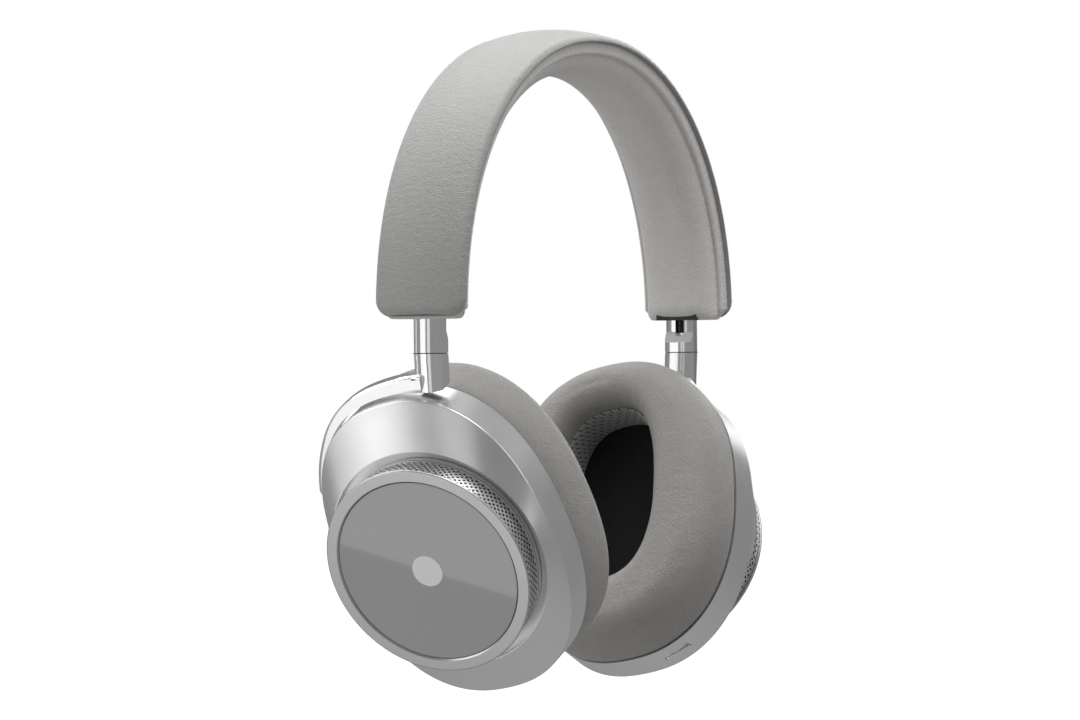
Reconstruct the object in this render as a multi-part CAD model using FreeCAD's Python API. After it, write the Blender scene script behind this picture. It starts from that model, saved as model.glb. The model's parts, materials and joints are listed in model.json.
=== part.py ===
import FreeCAD, Part
import math
import os

V = FreeCAD.Vector

# Over ear headphones. Millimetres and degrees, +Z up, -Y the wearer's front, -X the wearer's right.
# The origin is the middle of the headband pad's underside, where it rests on the head.
# The right half is modelled and mirrored, and the cups hang as they do when nobody wears them.

# ---- Headband ----
arch_half_span = 86.8        # centre plane to the seam between cover and pad, at the leg ends
arch_rise = 87.8             # leg ends to that seam at the crown
arch_power = 2.12            # 2 would be an ellipse
pad_depth = 10.2             # seam to the pad's underside, mid width
band_half_width = 16.0
cover_crown = 4.4            # seam to the top of the cover, mid width
cover_edge_round = 2.4
cover_leather = 1.4
cover_corner = 5.5           # rounding of the cover's lower corners
cover_lift = 1.0             # the pad ends this much below the cover
pad_inset = 1.4              # pad edge inside the cover edge
pad_flange = 3.8
pad_cushion_half_width = 12.6
pad_leather = 1.2
pad_chamfer = 3.5
spring_thickness = 0.8
spring_half_width = 9.0
spring_end_height = 34.0     # spring ends this high above the leg ends

# ---- Sliders ----
stem_width = 10.0            # front to back
stem_thickness = 6.0
stem_crown = 1.4             # bulge of the stem's outer face
stem_corner = 0.7
stem_inset = 4.9             # seam to the stem's middle
stem_visible = 10.6          # leg end to the swivel seam, as stored
stem_engaged = 19.5          # length inside the leg, as stored
slide_in = 9.5
slide_clearance = 0.15
guide_length = 20.0
guide_side_wall = 2.2
guide_inner_wall = 0.75
guide_outer_wall = 0.95
slot_width = 3.2
slot_depth = 3.0
slot_floor = 5.2             # swivel seam to the round end of the slot
step_low = 3.3               # the inner face steps back between these two heights
step_high = 6.8
step_back = 1.6
wire_radius = 0.7
detent_leaf = 0.3
leaf_width = 3.2
leaf_length = 8.0
leaf_fit = 0.1

# ---- Swivel and yoke ----
swivel_gap = 0.3
swivel_pin_radius = 1.6
swivel_pin_half_length = 4.6
pin_clearance = 0.05
foot_drop = 9.0              # swivel seam to the yoke's foot, where the cup's place is taken from
foot_lean = 0.8              # the foot is this much nearer the centre plane than the seam
foot_slope = 32.0
foot_reach = 3.2             # the outer wall reaches this far below the foot
foot_hollow = 3.0            # the hollow's roof above the foot
post_outer_wall = 1.6
post_inner_wall = 0.9
post_side_wall = 1.2
arm_gap = 0.9                # arm to the cup's side
arm_thickness = 2.5          # at the tilt pin
arm_root_thickness = 5.3     # at the stem
arm_width = 5.0
arm_start_angle = 104.0      # along the oval, from its short axis
arm_taper_angle = 52.0
arm_end_angle = 33.5
arm_round = 1.2
arm_tip_round = 1.9
tilt_pin_radius = 1.5
tilt_pin_length = 10.0
tilt_axis_height = 20.0      # above the cup's centre
bush_wall = 1.7
boss_wall = 1.0

# ---- Ear cups ----
cup_tilt = 24.8              # bottom nearer the centre plane
cup_toe = 2.6                # outer faces turned to the front
cup_lean = 12.5              # the oval's long axis leans to the rear
cup_half_width = 38.4
cup_half_height = 50.0
cup_power = 2.32
oval_lift = 1.0              # oval's centre above the round cap's centre
foot_behind = -3.6           # yoke foot in front of the cap's centre
foot_over_oval = 2.7
foot_past_middle = 1.7       # yoke foot past the middle of the side band, towards the head
cup_wall = 1.8
rim_depth = 8.7              # cap face to the recess rim
rim_radius = 36.4
rim_land = 0.3
groove_depth = 2.4
edge_depth = 14.8            # cap face to the cup's oval edge
edge_round = 0.4
band_depth = 11.6
floor_thickness = 1.9

# ---- Round cap ----
disc_radius = 30.2
disc_thickness = 1.2
bezel_radius = 34.4
bezel_thickness = 2.0
bezel_chamfer = 0.35
grille_radius = 33.45
grille_thickness = 0.55
badge_radius = 5.2
badge_thickness = 0.25
cap_fit = 0.1
tray_wall = 3.4
tray_floor = 1.3
spigot_length = 2.2

# ---- Inside the cups ----
baffle_thickness = 2.0
baffle_from_back = 1.0       # baffle's inner face below the cup's back edge
baffle_fit = 0.2
driver_radius = 20.4
driver_flange = 1.6
driver_flange_thickness = 1.2
driver_depth = 7.2
driver_wall = 1.2
magnet_radius = 12.5
magnet_length = 6.0
diaphragm_rise = 2.4
diaphragm_thickness = 0.3
screw_radius = 1.0
screw_head_radius = 1.9
screw_head_height = 1.2
screw_head_round = 0.4
screw_slot_width = 0.5
screw_slot_length = 2.4
screw_slot_depth = 0.5
screw_length = 6.0
screw_across = 17.0
screw_along = 32.0
screw_boss_radius = 2.6
ring_thickness = 2.0
ring_half_width = 30.0
ring_half_height = 42.0
speaker_cover_thickness = 1.2
cover_lap = 1.0             # the speaker cover reaches this far onto the cushion ring
board_radius = 27.0
board_thickness = 1.2
post_radius = 1.6
post_circle = 22.0
post_height = 3.0
cell_width = 24.0
cell_height = 34.0
cell_thickness = 5.0

# ---- Ear cushions ----
cushion_depth = 23.0
cushion_outer_round = 10.0
cushion_inner_round = 6.0
opening_half_width = 20.0
opening_half_height = 31.0
opening_power = 2.6
lining_thickness = 1.2
lining_depth = 12.0

# ---- Buttons and socket ----
button_width = 2.4
button_proud = 0.5
button_fit = 0.15
button_flange = 0.5
flange_thickness = 0.6
flange_drop = 0.9            # the flange starts this far inside the cup's wall
long_button = 9.5
short_button = 6.0
round_button = 3.4
noise_button_angle = 253.0
volume_button_angles = (0.0, -14.0, -28.0)
socket_width = 9.0
socket_height = 3.4
socket_wall = 0.4
socket_length = 7.5
socket_tongue = 0.7
socket_angle = 268.0

# ---- Places worked out from the sizes above ----
leg_z = pad_depth - arch_rise
swivel_z = leg_z - stem_visible
stem_x = arch_half_span - stem_inset
back_depth = edge_depth + band_depth
middle_depth = edge_depth + band_depth / 2
groove_floor = rim_depth + groove_depth
cavity_front = groove_floor + floor_thickness
baffle_back = back_depth - baffle_from_back
baffle_front = baffle_back - baffle_thickness
ring_back = baffle_back + ring_thickness
cover_back = ring_back + speaker_cover_thickness
cushion_face = back_depth + cushion_depth
foot_depth = middle_depth + foot_past_middle
tray_bottom = groove_floor - tray_floor

tilt, toe, lean = (math.radians(a) for a in (cup_tilt, cup_toe, cup_lean))
cup_rear = V(-math.sin(toe), math.cos(toe), 0)
cup_up = V(-math.sin(tilt) * math.cos(toe), -math.sin(tilt) * math.sin(toe), math.cos(tilt))
cup_in = V(math.cos(tilt) * math.cos(toe), math.cos(tilt) * math.sin(toe), math.sin(tilt))
yoke_foot = V(-stem_x + foot_lean, 0, swivel_z - foot_drop)
foot_height = cup_half_height + oval_lift + foot_over_oval
cup_centre = yoke_foot - cup_rear * foot_behind - cup_up * foot_height - cup_in * foot_depth


# ---- Curves ----
def superellipse(half_width, half_height, power, angle):
    """Point and outward unit normal at a polar angle in degrees."""
    c, s = math.cos(math.radians(angle)), math.sin(math.radians(angle))
    reach = ((abs(c) / half_width) ** power + (abs(s) / half_height) ** power) ** (-1 / power)
    x, y = reach * c, reach * s
    nx = math.copysign(abs(x / half_width) ** (power - 1) / half_width, x)
    ny = math.copysign(abs(y / half_height) ** (power - 1) / half_height, y)
    size = math.hypot(nx, ny)
    return x, y, nx / size, ny / size


def leaned(x, y, z=0.0):
    """A point of the oval's own frame, in the cup's frame."""
    return V(x * math.cos(lean) + y * math.sin(lean), -x * math.sin(lean) + y * math.cos(lean), z)


def oval_point(angle, offset=0.0, z=0.0):
    x, y, nx, ny = superellipse(cup_half_width, cup_half_height, cup_power, angle)
    return leaned(x + nx * offset, y + oval_lift + ny * offset, z)


def oval_normal(angle):
    x, y, nx, ny = superellipse(cup_half_width, cup_half_height, cup_power, angle)
    return leaned(nx, ny)


def oval_wire(half_width, half_height, z, power=cup_power, lift=oval_lift, count=36):
    points = []
    for step in range(count):
        x, y, nx, ny = superellipse(half_width, half_height, power, 360.0 * step / count)
        points.append(leaned(x, y + lift, z))
    curve = Part.BSplineCurve()
    curve.interpolate(points, PeriodicFlag=True)
    return Part.Wire([curve.toShape()])


def oval_prism(inset, z_low, z_high):
    wire = oval_wire(cup_half_width - inset, cup_half_height - inset, z_low)
    return Part.Face(wire).extrude(V(0, 0, z_high - z_low))


def inner_oval_prism(half_width, half_height, z_low, z_high, power=cup_power):
    return Part.Face(oval_wire(half_width, half_height, z_low, power)).extrude(V(0, 0, z_high - z_low))


def disc(radius, z_low, z_high, centre=V(0, 0, 0)):
    return Part.makeCylinder(radius, z_high - z_low, centre + V(0, 0, z_low))


def ring(outer, inner, z_low, z_high):
    return disc(outer, z_low, z_high).cut(disc(inner, z_low, z_high))


def box(low, high):
    return Part.makeBox(high.x - low.x, high.y - low.y, high.z - low.z, low)


def arch_point(angle, offset=0.0):
    x, z, nx, nz = superellipse(arch_half_span, arch_rise, arch_power, angle)
    return V(-x - nx * offset, 0, leg_z + z + nz * offset)


def edges_at(shape, test):
    return [edge for edge in shape.Edges if test(edge)]


def flat_at(z, tolerance=1e-3):
    """Test for an edge that lies in the plane of this height."""
    return lambda edge: abs(edge.BoundBox.ZMin - z) < tolerance and abs(edge.BoundBox.ZMax - z) < tolerance


# ---- Headband ----
def arch_spine(count=25):
    curve = Part.BSplineCurve()
    curve.interpolate([arch_point(180.0 * step / (count - 1)) for step in range(count)])
    return Part.Wire([curve.toShape()])


def swept(profile):
    """Solid of a closed profile, drawn at the right leg's end, carried along the arch."""
    shell = Part.BRepOffsetAPI.MakePipeShell(arch_spine())
    shell.setBiNormalMode(V(0, 1, 0))
    shell.add(profile)
    shell.build()
    shell.makeSolid()
    return shell.shape()


def at_leg(across, outward):
    return V(-arch_half_span - outward, across, leg_z)


def line(a, b):
    return Part.LineSegment(at_leg(*a), at_leg(*b)).toShape()


def arc(a, b, c):
    return Part.Arc(at_leg(*a), at_leg(*b), at_leg(*c)).toShape()


def crowned_profile(half_width, edge_round, crown):
    """Flat on the seam, round at both edges, and gently crowned between them."""
    shoulder = half_width - edge_round
    corner = edge_round * math.sqrt(0.5)
    return Part.Wire([
        line((-half_width, 0), (half_width, 0)),
        arc((half_width, 0), (shoulder + corner, corner), (shoulder, edge_round)),
        arc((shoulder, edge_round), (0, crown), (-shoulder, edge_round)),
        arc((-shoulder, edge_round), (-shoulder - corner, corner), (-half_width, 0)),
    ])


def strip_profile(half_width, low, high):
    return Part.makePolygon([at_leg(-half_width, low), at_leg(half_width, low), at_leg(half_width, high),
                             at_leg(-half_width, high), at_leg(-half_width, low)])


def cushion_profile(half_width, start, edge, depth):
    """Straight sides from the seam to the edge, then one crowned inner face."""
    return Part.Wire([
        line((-half_width, -start), (half_width, -start)),
        line((half_width, -start), (half_width, -edge)),
        arc((half_width, -edge), (0, -depth), (-half_width, -edge)),
        line((-half_width, -edge), (-half_width, -start)),
    ])


def leg_outline(half_width, bottom, corner, chamfered):
    """Prism along X that trims both legs: straight sides and finished lower corners."""
    top = pad_depth + cover_crown + band_half_width
    reach = arch_half_span + band_half_width
    blank = box(V(-reach, -half_width, bottom), V(reach, half_width, top))
    low = edges_at(blank, lambda e: flat_at(bottom)(e) and e.Length > reach)
    if chamfered:
        return blank.makeChamfer(corner, low)
    return blank.makeFillet(corner, low)


def headband_cover(stiffener_space):
    skin = swept(crowned_profile(band_half_width, cover_edge_round, cover_crown))
    trimmed = skin.common(leg_outline(band_half_width, leg_z + cover_lift, cover_corner, False))
    return trimmed.cut(stiffener_space)


def headband_stiffener_space():
    half_width = band_half_width - cover_leather
    return swept(crowned_profile(half_width, cover_edge_round - cover_leather, cover_crown - cover_leather))


def pad_blank():
    flange = swept(strip_profile(band_half_width - pad_inset, -pad_flange, 0))
    cushion = swept(cushion_profile(pad_cushion_half_width, 0, pad_flange + pad_inset, pad_depth))
    trim = leg_outline(band_half_width - pad_inset, leg_z, pad_chamfer, True)
    return flange.fuse(cushion).common(trim)


def foam_space():
    half_width = pad_cushion_half_width - pad_leather
    edge = pad_flange + pad_inset - pad_leather
    return swept(cushion_profile(half_width, 0, edge, pad_depth - pad_leather))


def headband_spring():
    strip = swept(strip_profile(spring_half_width, -spring_thickness, 0))
    reach = arch_half_span + band_half_width
    below = box(V(-reach, -band_half_width, leg_z - 1), V(reach, band_half_width, leg_z + spring_end_height))
    return strip.cut(below)


# ---- Slider guide and stem, in the headband's frame, right side ----
def guide_block(extra=0.0):
    half_y = stem_width / 2 + slide_clearance + guide_side_wall + extra
    x_inner = -stem_x + stem_thickness / 2 + slide_clearance + guide_inner_wall + extra
    x_outer = -stem_x - stem_thickness / 2 - slide_clearance - guide_outer_wall - extra
    return box(V(x_outer, -half_y, leg_z), V(x_inner, half_y, leg_z + guide_length + extra))


def stem_channel(top):
    half_y = stem_width / 2 + slide_clearance
    half_x = stem_thickness / 2 + slide_clearance
    return box(V(-stem_x - half_x, -half_y, leg_z - 1), V(-stem_x + half_x, half_y, top))


def leaf_pocket(grow):
    """Room of the detent leaf in the guide's side wall, beside the stem."""
    y = stem_width / 2 + slide_clearance + leaf_fit
    z = leg_z + guide_length / 2
    half_x, half_z = leaf_width / 2 + grow, leaf_length / 2 + grow
    return box(V(-stem_x - half_x, y - grow, z - half_z),
               V(-stem_x + half_x, y + detent_leaf + 4 * grow, z + half_z))


def slider_guide(taken):
    block = guide_block().cut(stem_channel(leg_z + guide_length + 1))
    return block.cut(taken).cut(leaf_pocket(leaf_fit))


def stem_section(z, shift_x=0.0):
    half_y = stem_width / 2
    outer = -stem_x - stem_thickness / 2 + shift_x
    inner = -stem_x + stem_thickness / 2 + shift_x
    return Part.Face(Part.Wire([
        Part.LineSegment(V(inner, -half_y, z), V(inner, half_y, z)).toShape(),
        Part.LineSegment(V(inner, half_y, z), V(outer + stem_crown, half_y, z)).toShape(),
        Part.Arc(V(outer + stem_crown, half_y, z), V(outer, 0, z),
                 V(outer + stem_crown, -half_y, z)).toShape(),
        Part.LineSegment(V(outer + stem_crown, -half_y, z), V(inner, -half_y, z)).toShape(),
    ]))


def upper_stem():
    bottom = swivel_z + swivel_gap / 2
    top = leg_z + stem_engaged
    bar = stem_section(bottom).extrude(V(0, 0, top - bottom))
    upright = edges_at(bar, lambda e: e.BoundBox.ZLength > (top - bottom) / 2)
    bar = bar.makeFillet(stem_corner, upright)
    inner = -stem_x + stem_thickness / 2
    half_y = stem_width
    step = Part.makePolygon([
        V(inner + 1, -half_y, swivel_z + step_low),
        V(inner, -half_y, swivel_z + step_low),
        V(inner - step_back, -half_y, swivel_z + step_high),
        V(inner - step_back, -half_y, top + 1),
        V(inner + 1, -half_y, top + 1),
        V(inner + 1, -half_y, swivel_z + step_low),
    ])
    bar = bar.cut(Part.Face(step).extrude(V(0, 2 * half_y, 0)))
    return bar.cut(wire_slot(top + 1)).cut(pin_bore(swivel_pin_radius))


def wire_slot(top):
    inner = -stem_x + stem_thickness / 2
    floor = swivel_z + slot_floor + slot_width / 2
    depth = V(-slot_depth - 1, 0, 0)
    round_end = Part.makeCylinder(slot_width / 2, slot_depth + 1, V(inner + 1, 0, floor), V(-1, 0, 0))
    straight = box(V(inner + 1, -slot_width / 2, floor) + depth, V(inner + 1, slot_width / 2, top))
    return round_end.fuse(straight)


def stem_wire():
    x = -stem_x + stem_thickness / 2 - slot_depth + wire_radius
    low = swivel_z + slot_floor + 1.2
    return Part.makeCylinder(wire_radius, leg_z + stem_engaged - 1 - low, V(x, 0, low))


def pin_bore(radius):
    x = -stem_x
    return Part.makeCylinder(radius, 2 * swivel_pin_half_length, V(x, 0, swivel_z - swivel_pin_half_length))


# ---- Yoke, in the headband's frame, right side ----
def arm_offset(angle):
    thick = arm_thickness
    if angle > arm_taper_angle:
        share = (angle - arm_taper_angle) / (arm_start_angle - arm_taper_angle)
        thick += (arm_root_thickness - arm_thickness) * share
    return arm_gap + thick


def arm():
    count = 15
    z = foot_depth - arm_width / 2 - foot_past_middle / 2
    span = arm_start_angle - arm_end_angle
    angles = [arm_start_angle - span * step / (count - 1) for step in range(count)]
    inner = Part.BSplineCurve()
    inner.interpolate([oval_point(a, arm_gap, z) for a in angles])
    outer = Part.BSplineCurve()
    outer.interpolate([oval_point(a, arm_offset(a), z) for a in angles])
    ends = [Part.LineSegment(oval_point(a, arm_gap, z), oval_point(a, arm_offset(a), z)).toShape()
            for a in (angles[0], angles[-1])]
    face = Part.Face(Part.Wire(Part.__sortEdges__([inner.toShape(), outer.toShape()] + ends)))
    bar = face.extrude(V(0, 0, arm_width))
    tip = oval_point(angles[-1], arm_offset(angles[-1]), z)
    tip_edge = edges_at(bar, lambda e: e.BoundBox.ZLength > arm_width / 2
                        and (e.Vertexes[0].Point - tip).Length < arm_width + 0.1
                        and abs(e.Vertexes[0].Point.x - tip.x) < 0.1)
    bar = bar.makeFillet(arm_tip_round, tip_edge)
    reach = oval_point(60, arm_offset(60), z)
    long_edges = edges_at(bar, lambda e: e.Length > 30 and e.BoundBox.ZLength < 0.01
                          and e.distToShape(Part.Vertex(V(reach.x, reach.y, e.BoundBox.ZMin)))[0] < 0.2)
    return bar.makeFillet(arm_round, long_edges)


def tilt_axis_start():
    """Where the tilt axis leaves the arm's outer face, in the cup's frame."""
    low, high = arm_end_angle - 40, arm_end_angle + 40
    for step in range(60):
        middle = (low + high) / 2
        if oval_point(middle, arm_offset(middle)).y < tilt_axis_height:
            low = middle
        else:
            high = middle
    return V(oval_point(middle, arm_offset(middle)).x, tilt_axis_height, foot_depth - foot_past_middle / 2)


def along_tilt_axis(radius, start, length):
    """Cylinder on the tilt axis, from start inside the arm's outer face, running into the cup."""
    origin = tilt_axis_start() - V(start, 0, 0)
    return Part.makeCylinder(radius, length, origin, V(-1, 0, 0))


def in_cup(shape):
    """Moves a piece of the right cup from the cup's frame to the headphones' frame."""
    frame = FreeCAD.Matrix(cup_rear.x, cup_up.x, cup_in.x, cup_centre.x,
                           cup_rear.y, cup_up.y, cup_in.y, cup_centre.y,
                           cup_rear.z, cup_up.z, cup_in.z, cup_centre.z,
                           0, 0, 0, 1)
    moved = shape.copy()
    moved.Placement = FreeCAD.Placement(frame).multiply(moved.Placement)
    return moved


def yoke_post(length):
    """Post under the swivel seam, leaning in towards its foot."""
    drift = foot_lean * length / foot_drop
    post = stem_section(swivel_z - swivel_gap / 2).extrude(V(drift, 0, -length))
    return post.makeFillet(stem_corner, edges_at(post, lambda e: e.BoundBox.ZLength > length / 2))


def post_hollow(length):
    """Pocket that is open at the foot and keeps an outer, an inner and two side walls."""
    outer = yoke_foot.x - stem_thickness / 2 + post_outer_wall
    inner = yoke_foot.x + stem_thickness / 2 - post_inner_wall
    half_y = stem_width / 2 - post_side_wall
    return box(V(outer, -half_y, swivel_z - length), V(inner, half_y, yoke_foot.z + foot_hollow))


def below_slope():
    """Everything under the slanted foot: lowest outside, rising towards the head."""
    size = 6 * stem_width
    away = box(V(-size / 2, -size / 2, -size / 2), V(size, size / 2, 0))
    away.rotate(V(0, 0, 0), V(0, 1, 0), -foot_slope)
    away.translate(yoke_foot + V(-stem_thickness / 2, 0, -foot_reach))
    return away


def yoke():
    length = foot_drop + foot_reach + stem_thickness
    hollow = post_hollow(length)
    post = yoke_post(length).cut(below_slope()).cut(hollow)
    bored_arm = in_cup(arm().cut(along_tilt_axis(tilt_pin_radius, -1, arm_gap + 3 * arm_thickness)))
    open_arm = max(bored_arm.cut(hollow).Solids, key=lambda solid: solid.Volume)
    body = post.fuse(open_arm).removeSplitter()
    return body.cut(pin_bore(swivel_pin_radius + pin_clearance))


def tilt_pin():
    return in_cup(along_tilt_axis(tilt_pin_radius, 0.4, tilt_pin_length))


# ---- Ear cup, in the cup's frame, right side: X to the rear, Y up, Z towards the head ----
def on_side(angle, depth, outward=0.0):
    """Point on the cup's side band."""
    return oval_point(angle, outward, depth)


def capsule(angle, length, width, low, high):
    """Capsule standing on the side band at an angle, from low to high along the outward normal."""
    normal = oval_normal(angle)
    along = V(-normal.y, normal.x, 0)
    centre = on_side(angle, middle_depth - 0.7)
    half = (length - width) / 2
    side = V(0, 0, width / 2)
    a, b = centre - along * half, centre + along * half
    outline = Part.Wire([
        Part.LineSegment(a + side, b + side).toShape(),
        Part.Arc(b + side, b + along * (width / 2), b - side).toShape(),
        Part.LineSegment(b - side, a - side).toShape(),
        Part.Arc(a - side, a - along * (width / 2), a + side).toShape(),
    ])
    face = Part.Face(outline)
    face.translate(normal * low)
    return face.extrude(normal * (high - low))


def button(angle, length):
    width = button_width if length > round_button else round_button - 0.01
    low = -cup_wall - flange_drop - flange_thickness
    cap = capsule(angle, length, width, low, button_proud)
    flange = capsule(angle, length + 2 * button_flange, width + 2 * button_flange, low, low + flange_thickness)
    return cap.fuse(flange).removeSplitter()


def button_hole(angle, length):
    width = button_width if length > round_button else round_button - 0.01
    return capsule(angle, length + 2 * button_fit, width + 2 * button_fit, -3 * cup_wall, 2 * cup_wall)


def socket():
    body = capsule(socket_angle, socket_width, socket_height, -socket_length, -0.1)
    space = capsule(socket_angle, socket_width - 2 * socket_wall, socket_height - 2 * socket_wall,
                    -socket_length + socket_wall, 1)
    tongue = capsule(socket_angle, socket_width - 6 * socket_wall, socket_tongue,
                     -socket_length + socket_wall / 2, -1.2)
    return body.cut(space).fuse(tongue).removeSplitter()


def socket_hole():
    return capsule(socket_angle, socket_width + 0.2, socket_height + 0.2, -3 * cup_wall, 2 * cup_wall)


def screw_places():
    corners = ((x, y) for x in (-screw_across, screw_across) for y in (-screw_along, screw_along))
    return [leaned(x, y + oval_lift) for x, y in corners]


def circle_wire(radius, z, count=36):
    return oval_wire(radius, radius, z, 2.0, 0.0, count)


def cup_blank():
    face = Part.makeLoft([circle_wire(rim_radius + rim_land, rim_depth),
                          oval_wire(cup_half_width, cup_half_height, edge_depth)], True, True)
    blank = face.fuse(oval_prism(0, edge_depth, back_depth)).removeSplitter()
    return blank.makeFillet(edge_round, edges_at(blank, flat_at(edge_depth)))


def cup_shell(side):
    blank = cup_blank()
    neck = grille_radius - tray_wall / 2
    front = Part.makeLoft([circle_wire(grille_radius, cavity_front),
                           oval_wire(cup_half_width - cup_wall, cup_half_height - cup_wall,
                                     edge_depth + cup_wall)], True, True)
    cavity = front.fuse(oval_prism(cup_wall, edge_depth + cup_wall, back_depth + 1))
    boss_radius = tilt_pin_radius + bush_wall + boss_wall
    reach = tilt_pin_length - 0.5
    solid = blank.cut(cavity)
    bosses = [along_tilt_axis(boss_radius, 0, reach)]
    bosses += [disc(screw_boss_radius, cavity_front - 0.5, baffle_front, place) for place in screw_places()]
    for boss in bosses:
        solid = solid.fuse(boss.common(blank))
    solid = solid.cut(disc(rim_radius, 0, groove_floor))
    solid = solid.cut(disc(neck, groove_floor - 1, cavity_front + 2))
    solid = solid.cut(along_tilt_axis(tilt_pin_radius + bush_wall, -5, reach + 6))
    for place in screw_places():
        solid = solid.cut(disc(screw_radius, baffle_front - screw_length, baffle_front + 1, place))
    for angle, length in side_buttons(side).values():
        solid = solid.cut(button_hole(angle, length))
    if side == "right":
        solid = solid.cut(socket_hole())
    return solid.removeSplitter()


def side_buttons(side):
    if side == "left":
        return {"noise_button": (noise_button_angle, long_button)}
    names = ("volume_up_button", "play_button", "volume_down_button")
    lengths = (short_button, round_button, short_button)
    return dict(zip(names, zip(volume_button_angles, lengths)))


def tilt_bush():
    blank = along_tilt_axis(tilt_pin_radius + bush_wall, 0, tilt_pin_length - 0.5).common(cup_blank())
    return blank.cut(along_tilt_axis(tilt_pin_radius + pin_clearance, -1, tilt_pin_length + 5))


def cap_bezel():
    blank = disc(bezel_radius, 0, bezel_thickness)
    blank = blank.makeChamfer(bezel_chamfer, edges_at(blank, flat_at(0)))
    return blank.cut(disc(disc_radius + cap_fit, -1, bezel_thickness + 1))


def cap_disc():
    return disc(disc_radius, 0, disc_thickness).cut(cap_badge())


def cap_badge():
    return disc(badge_radius, 0, badge_thickness)


def perforated_ring():
    return ring(grille_radius, grille_radius - grille_thickness, bezel_thickness, groove_floor)


def cap_tray(side):
    outer = grille_radius - grille_thickness - cap_fit
    hollow = disc_radius - tray_wall / 2
    tray = disc(outer, bezel_thickness, groove_floor).fuse(disc(disc_radius, disc_thickness, bezel_thickness))
    neck = grille_radius - tray_wall / 2 - cap_fit
    tray = tray.fuse(disc(neck, groove_floor, groove_floor + spigot_length))
    tray = tray.cut(disc(hollow, 0, tray_bottom))
    if side == "right":
        for angle in (90, 210, 330):
            turn = math.radians(angle)
            place = V(post_circle * math.cos(turn), post_circle * math.sin(turn), 0)
            tray = tray.fuse(disc(post_radius, tray_bottom - post_height, tray_bottom, place))
    return tray.removeSplitter()


def circuit_board():
    top = tray_bottom - post_height
    return disc(board_radius, top - board_thickness, top)


def battery_cell():
    blank = box(V(-cell_width / 2, -cell_height / 2, tray_bottom - cell_thickness),
                V(cell_width / 2, cell_height / 2, tray_bottom))
    return blank.makeFillet(1.0, edges_at(blank, lambda e: e.BoundBox.ZLength > cell_thickness / 2))


def baffle_plate():
    plate = oval_prism(cup_wall + baffle_fit, baffle_front, baffle_back)
    plate = plate.cut(disc(driver_radius + cap_fit, baffle_front - 1, baffle_back + 1))
    boss_room = tilt_pin_radius + bush_wall + boss_wall + baffle_fit
    plate = plate.cut(along_tilt_axis(boss_room, -5, tilt_pin_length + 6))
    for place in screw_places():
        plate = plate.cut(disc(screw_radius + cap_fit, baffle_front - 1, baffle_back + 1, place))
    return plate


def baffle_screws():
    screws = []
    for place in screw_places():
        shank = disc(screw_radius, baffle_front - screw_length + 0.5, baffle_back, place)
        top = baffle_back + screw_head_height
        head = disc(screw_head_radius, baffle_back, top, place)
        head = head.makeFillet(screw_head_round, edges_at(head, flat_at(top)))
        half_slot = V(screw_slot_width / 2, screw_slot_length / 2, 0)
        slot = box(place - half_slot + V(0, 0, top - screw_slot_depth), place + half_slot + V(0, 0, top + 1))
        head = head.cut(slot)
        screws.append(shank.fuse(head).removeSplitter())
    return Part.makeCompound(screws)


def driver_frame():
    basket = disc(driver_radius, baffle_back - driver_depth, baffle_back)
    flange_back = baffle_back + driver_flange_thickness
    basket = basket.fuse(disc(driver_radius + driver_flange, baffle_back, flange_back))
    inside = disc(driver_radius - driver_wall, baffle_back - driver_depth + driver_wall, flange_back + 1)
    magnet_room = disc(magnet_radius + cap_fit, baffle_back - driver_depth - 1, baffle_back)
    return basket.cut(inside).cut(magnet_room).removeSplitter()


def driver_magnet():
    back = baffle_back - driver_depth + driver_wall + 0.8
    magnet = disc(magnet_radius, back - magnet_length, back)
    lip = disc(magnet_radius + 1.2, baffle_back - driver_depth + driver_wall, back)
    return magnet.fuse(lip).removeSplitter()


def diaphragm():
    radius = driver_radius - driver_wall - cap_fit
    sphere = (radius ** 2 + diaphragm_rise ** 2) / (2 * diaphragm_rise)
    base = baffle_back - diaphragm_rise - 0.2
    centre = V(0, 0, base + diaphragm_rise - sphere)
    dome = Part.makeSphere(sphere, centre).cut(Part.makeSphere(sphere - diaphragm_thickness, centre))
    return dome.common(disc(radius, base, base + diaphragm_rise + 1))


def cushion_ring():
    outer = oval_prism(cup_wall + baffle_fit + 0.2, baffle_back, ring_back)
    return outer.cut(inner_oval_prism(ring_half_width, ring_half_height, baffle_back - 1, ring_back + 1))


def speaker_cover():
    return inner_oval_prism(ring_half_width + cover_lap, ring_half_height + cover_lap, ring_back, cover_back)


def ear_cushion():
    blank = oval_prism(0, back_depth, cushion_face)
    blank = blank.makeFillet(cushion_outer_round, edges_at(blank, flat_at(cushion_face)))
    hole = inner_oval_prism(opening_half_width, opening_half_height, back_depth - 1, cushion_face + 1,
                            opening_power)
    pad = blank.cut(hole)
    mouth = edges_at(pad, lambda e: flat_at(cushion_face, 0.01)(e)
                     and e.BoundBox.XLength < 2.4 * opening_half_width)
    pad = pad.makeFillet(cushion_inner_round, mouth)
    pocket = oval_prism(cup_wall + baffle_fit + 0.2, back_depth - 1, ring_back)
    cover_room = inner_oval_prism(ring_half_width + cover_lap, ring_half_height + cover_lap,
                                  back_depth, cover_back)
    pocket = pocket.fuse(cover_room)
    return pad.cut(pocket)


def cushion_lining():
    sizes = (opening_half_width, opening_half_height)
    outer = inner_oval_prism(*sizes, cover_back, cover_back + lining_depth, opening_power)
    inner = inner_oval_prism(*(size - lining_thickness for size in sizes), cover_back - 1,
                             cover_back + lining_depth + 1, opening_power)
    return outer.cut(inner)


# ---- Making and saving every piece ----
def mirrored(shape):
    return shape.mirror(V(0, 0, 0), V(1, 0, 0))


def save(name, shape):
    if not shape.isValid() or not shape.Solids:
        raise RuntimeError(name + " is not a valid solid")
    shape.exportStep(os.path.join("parts", name + ".step"))


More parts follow.
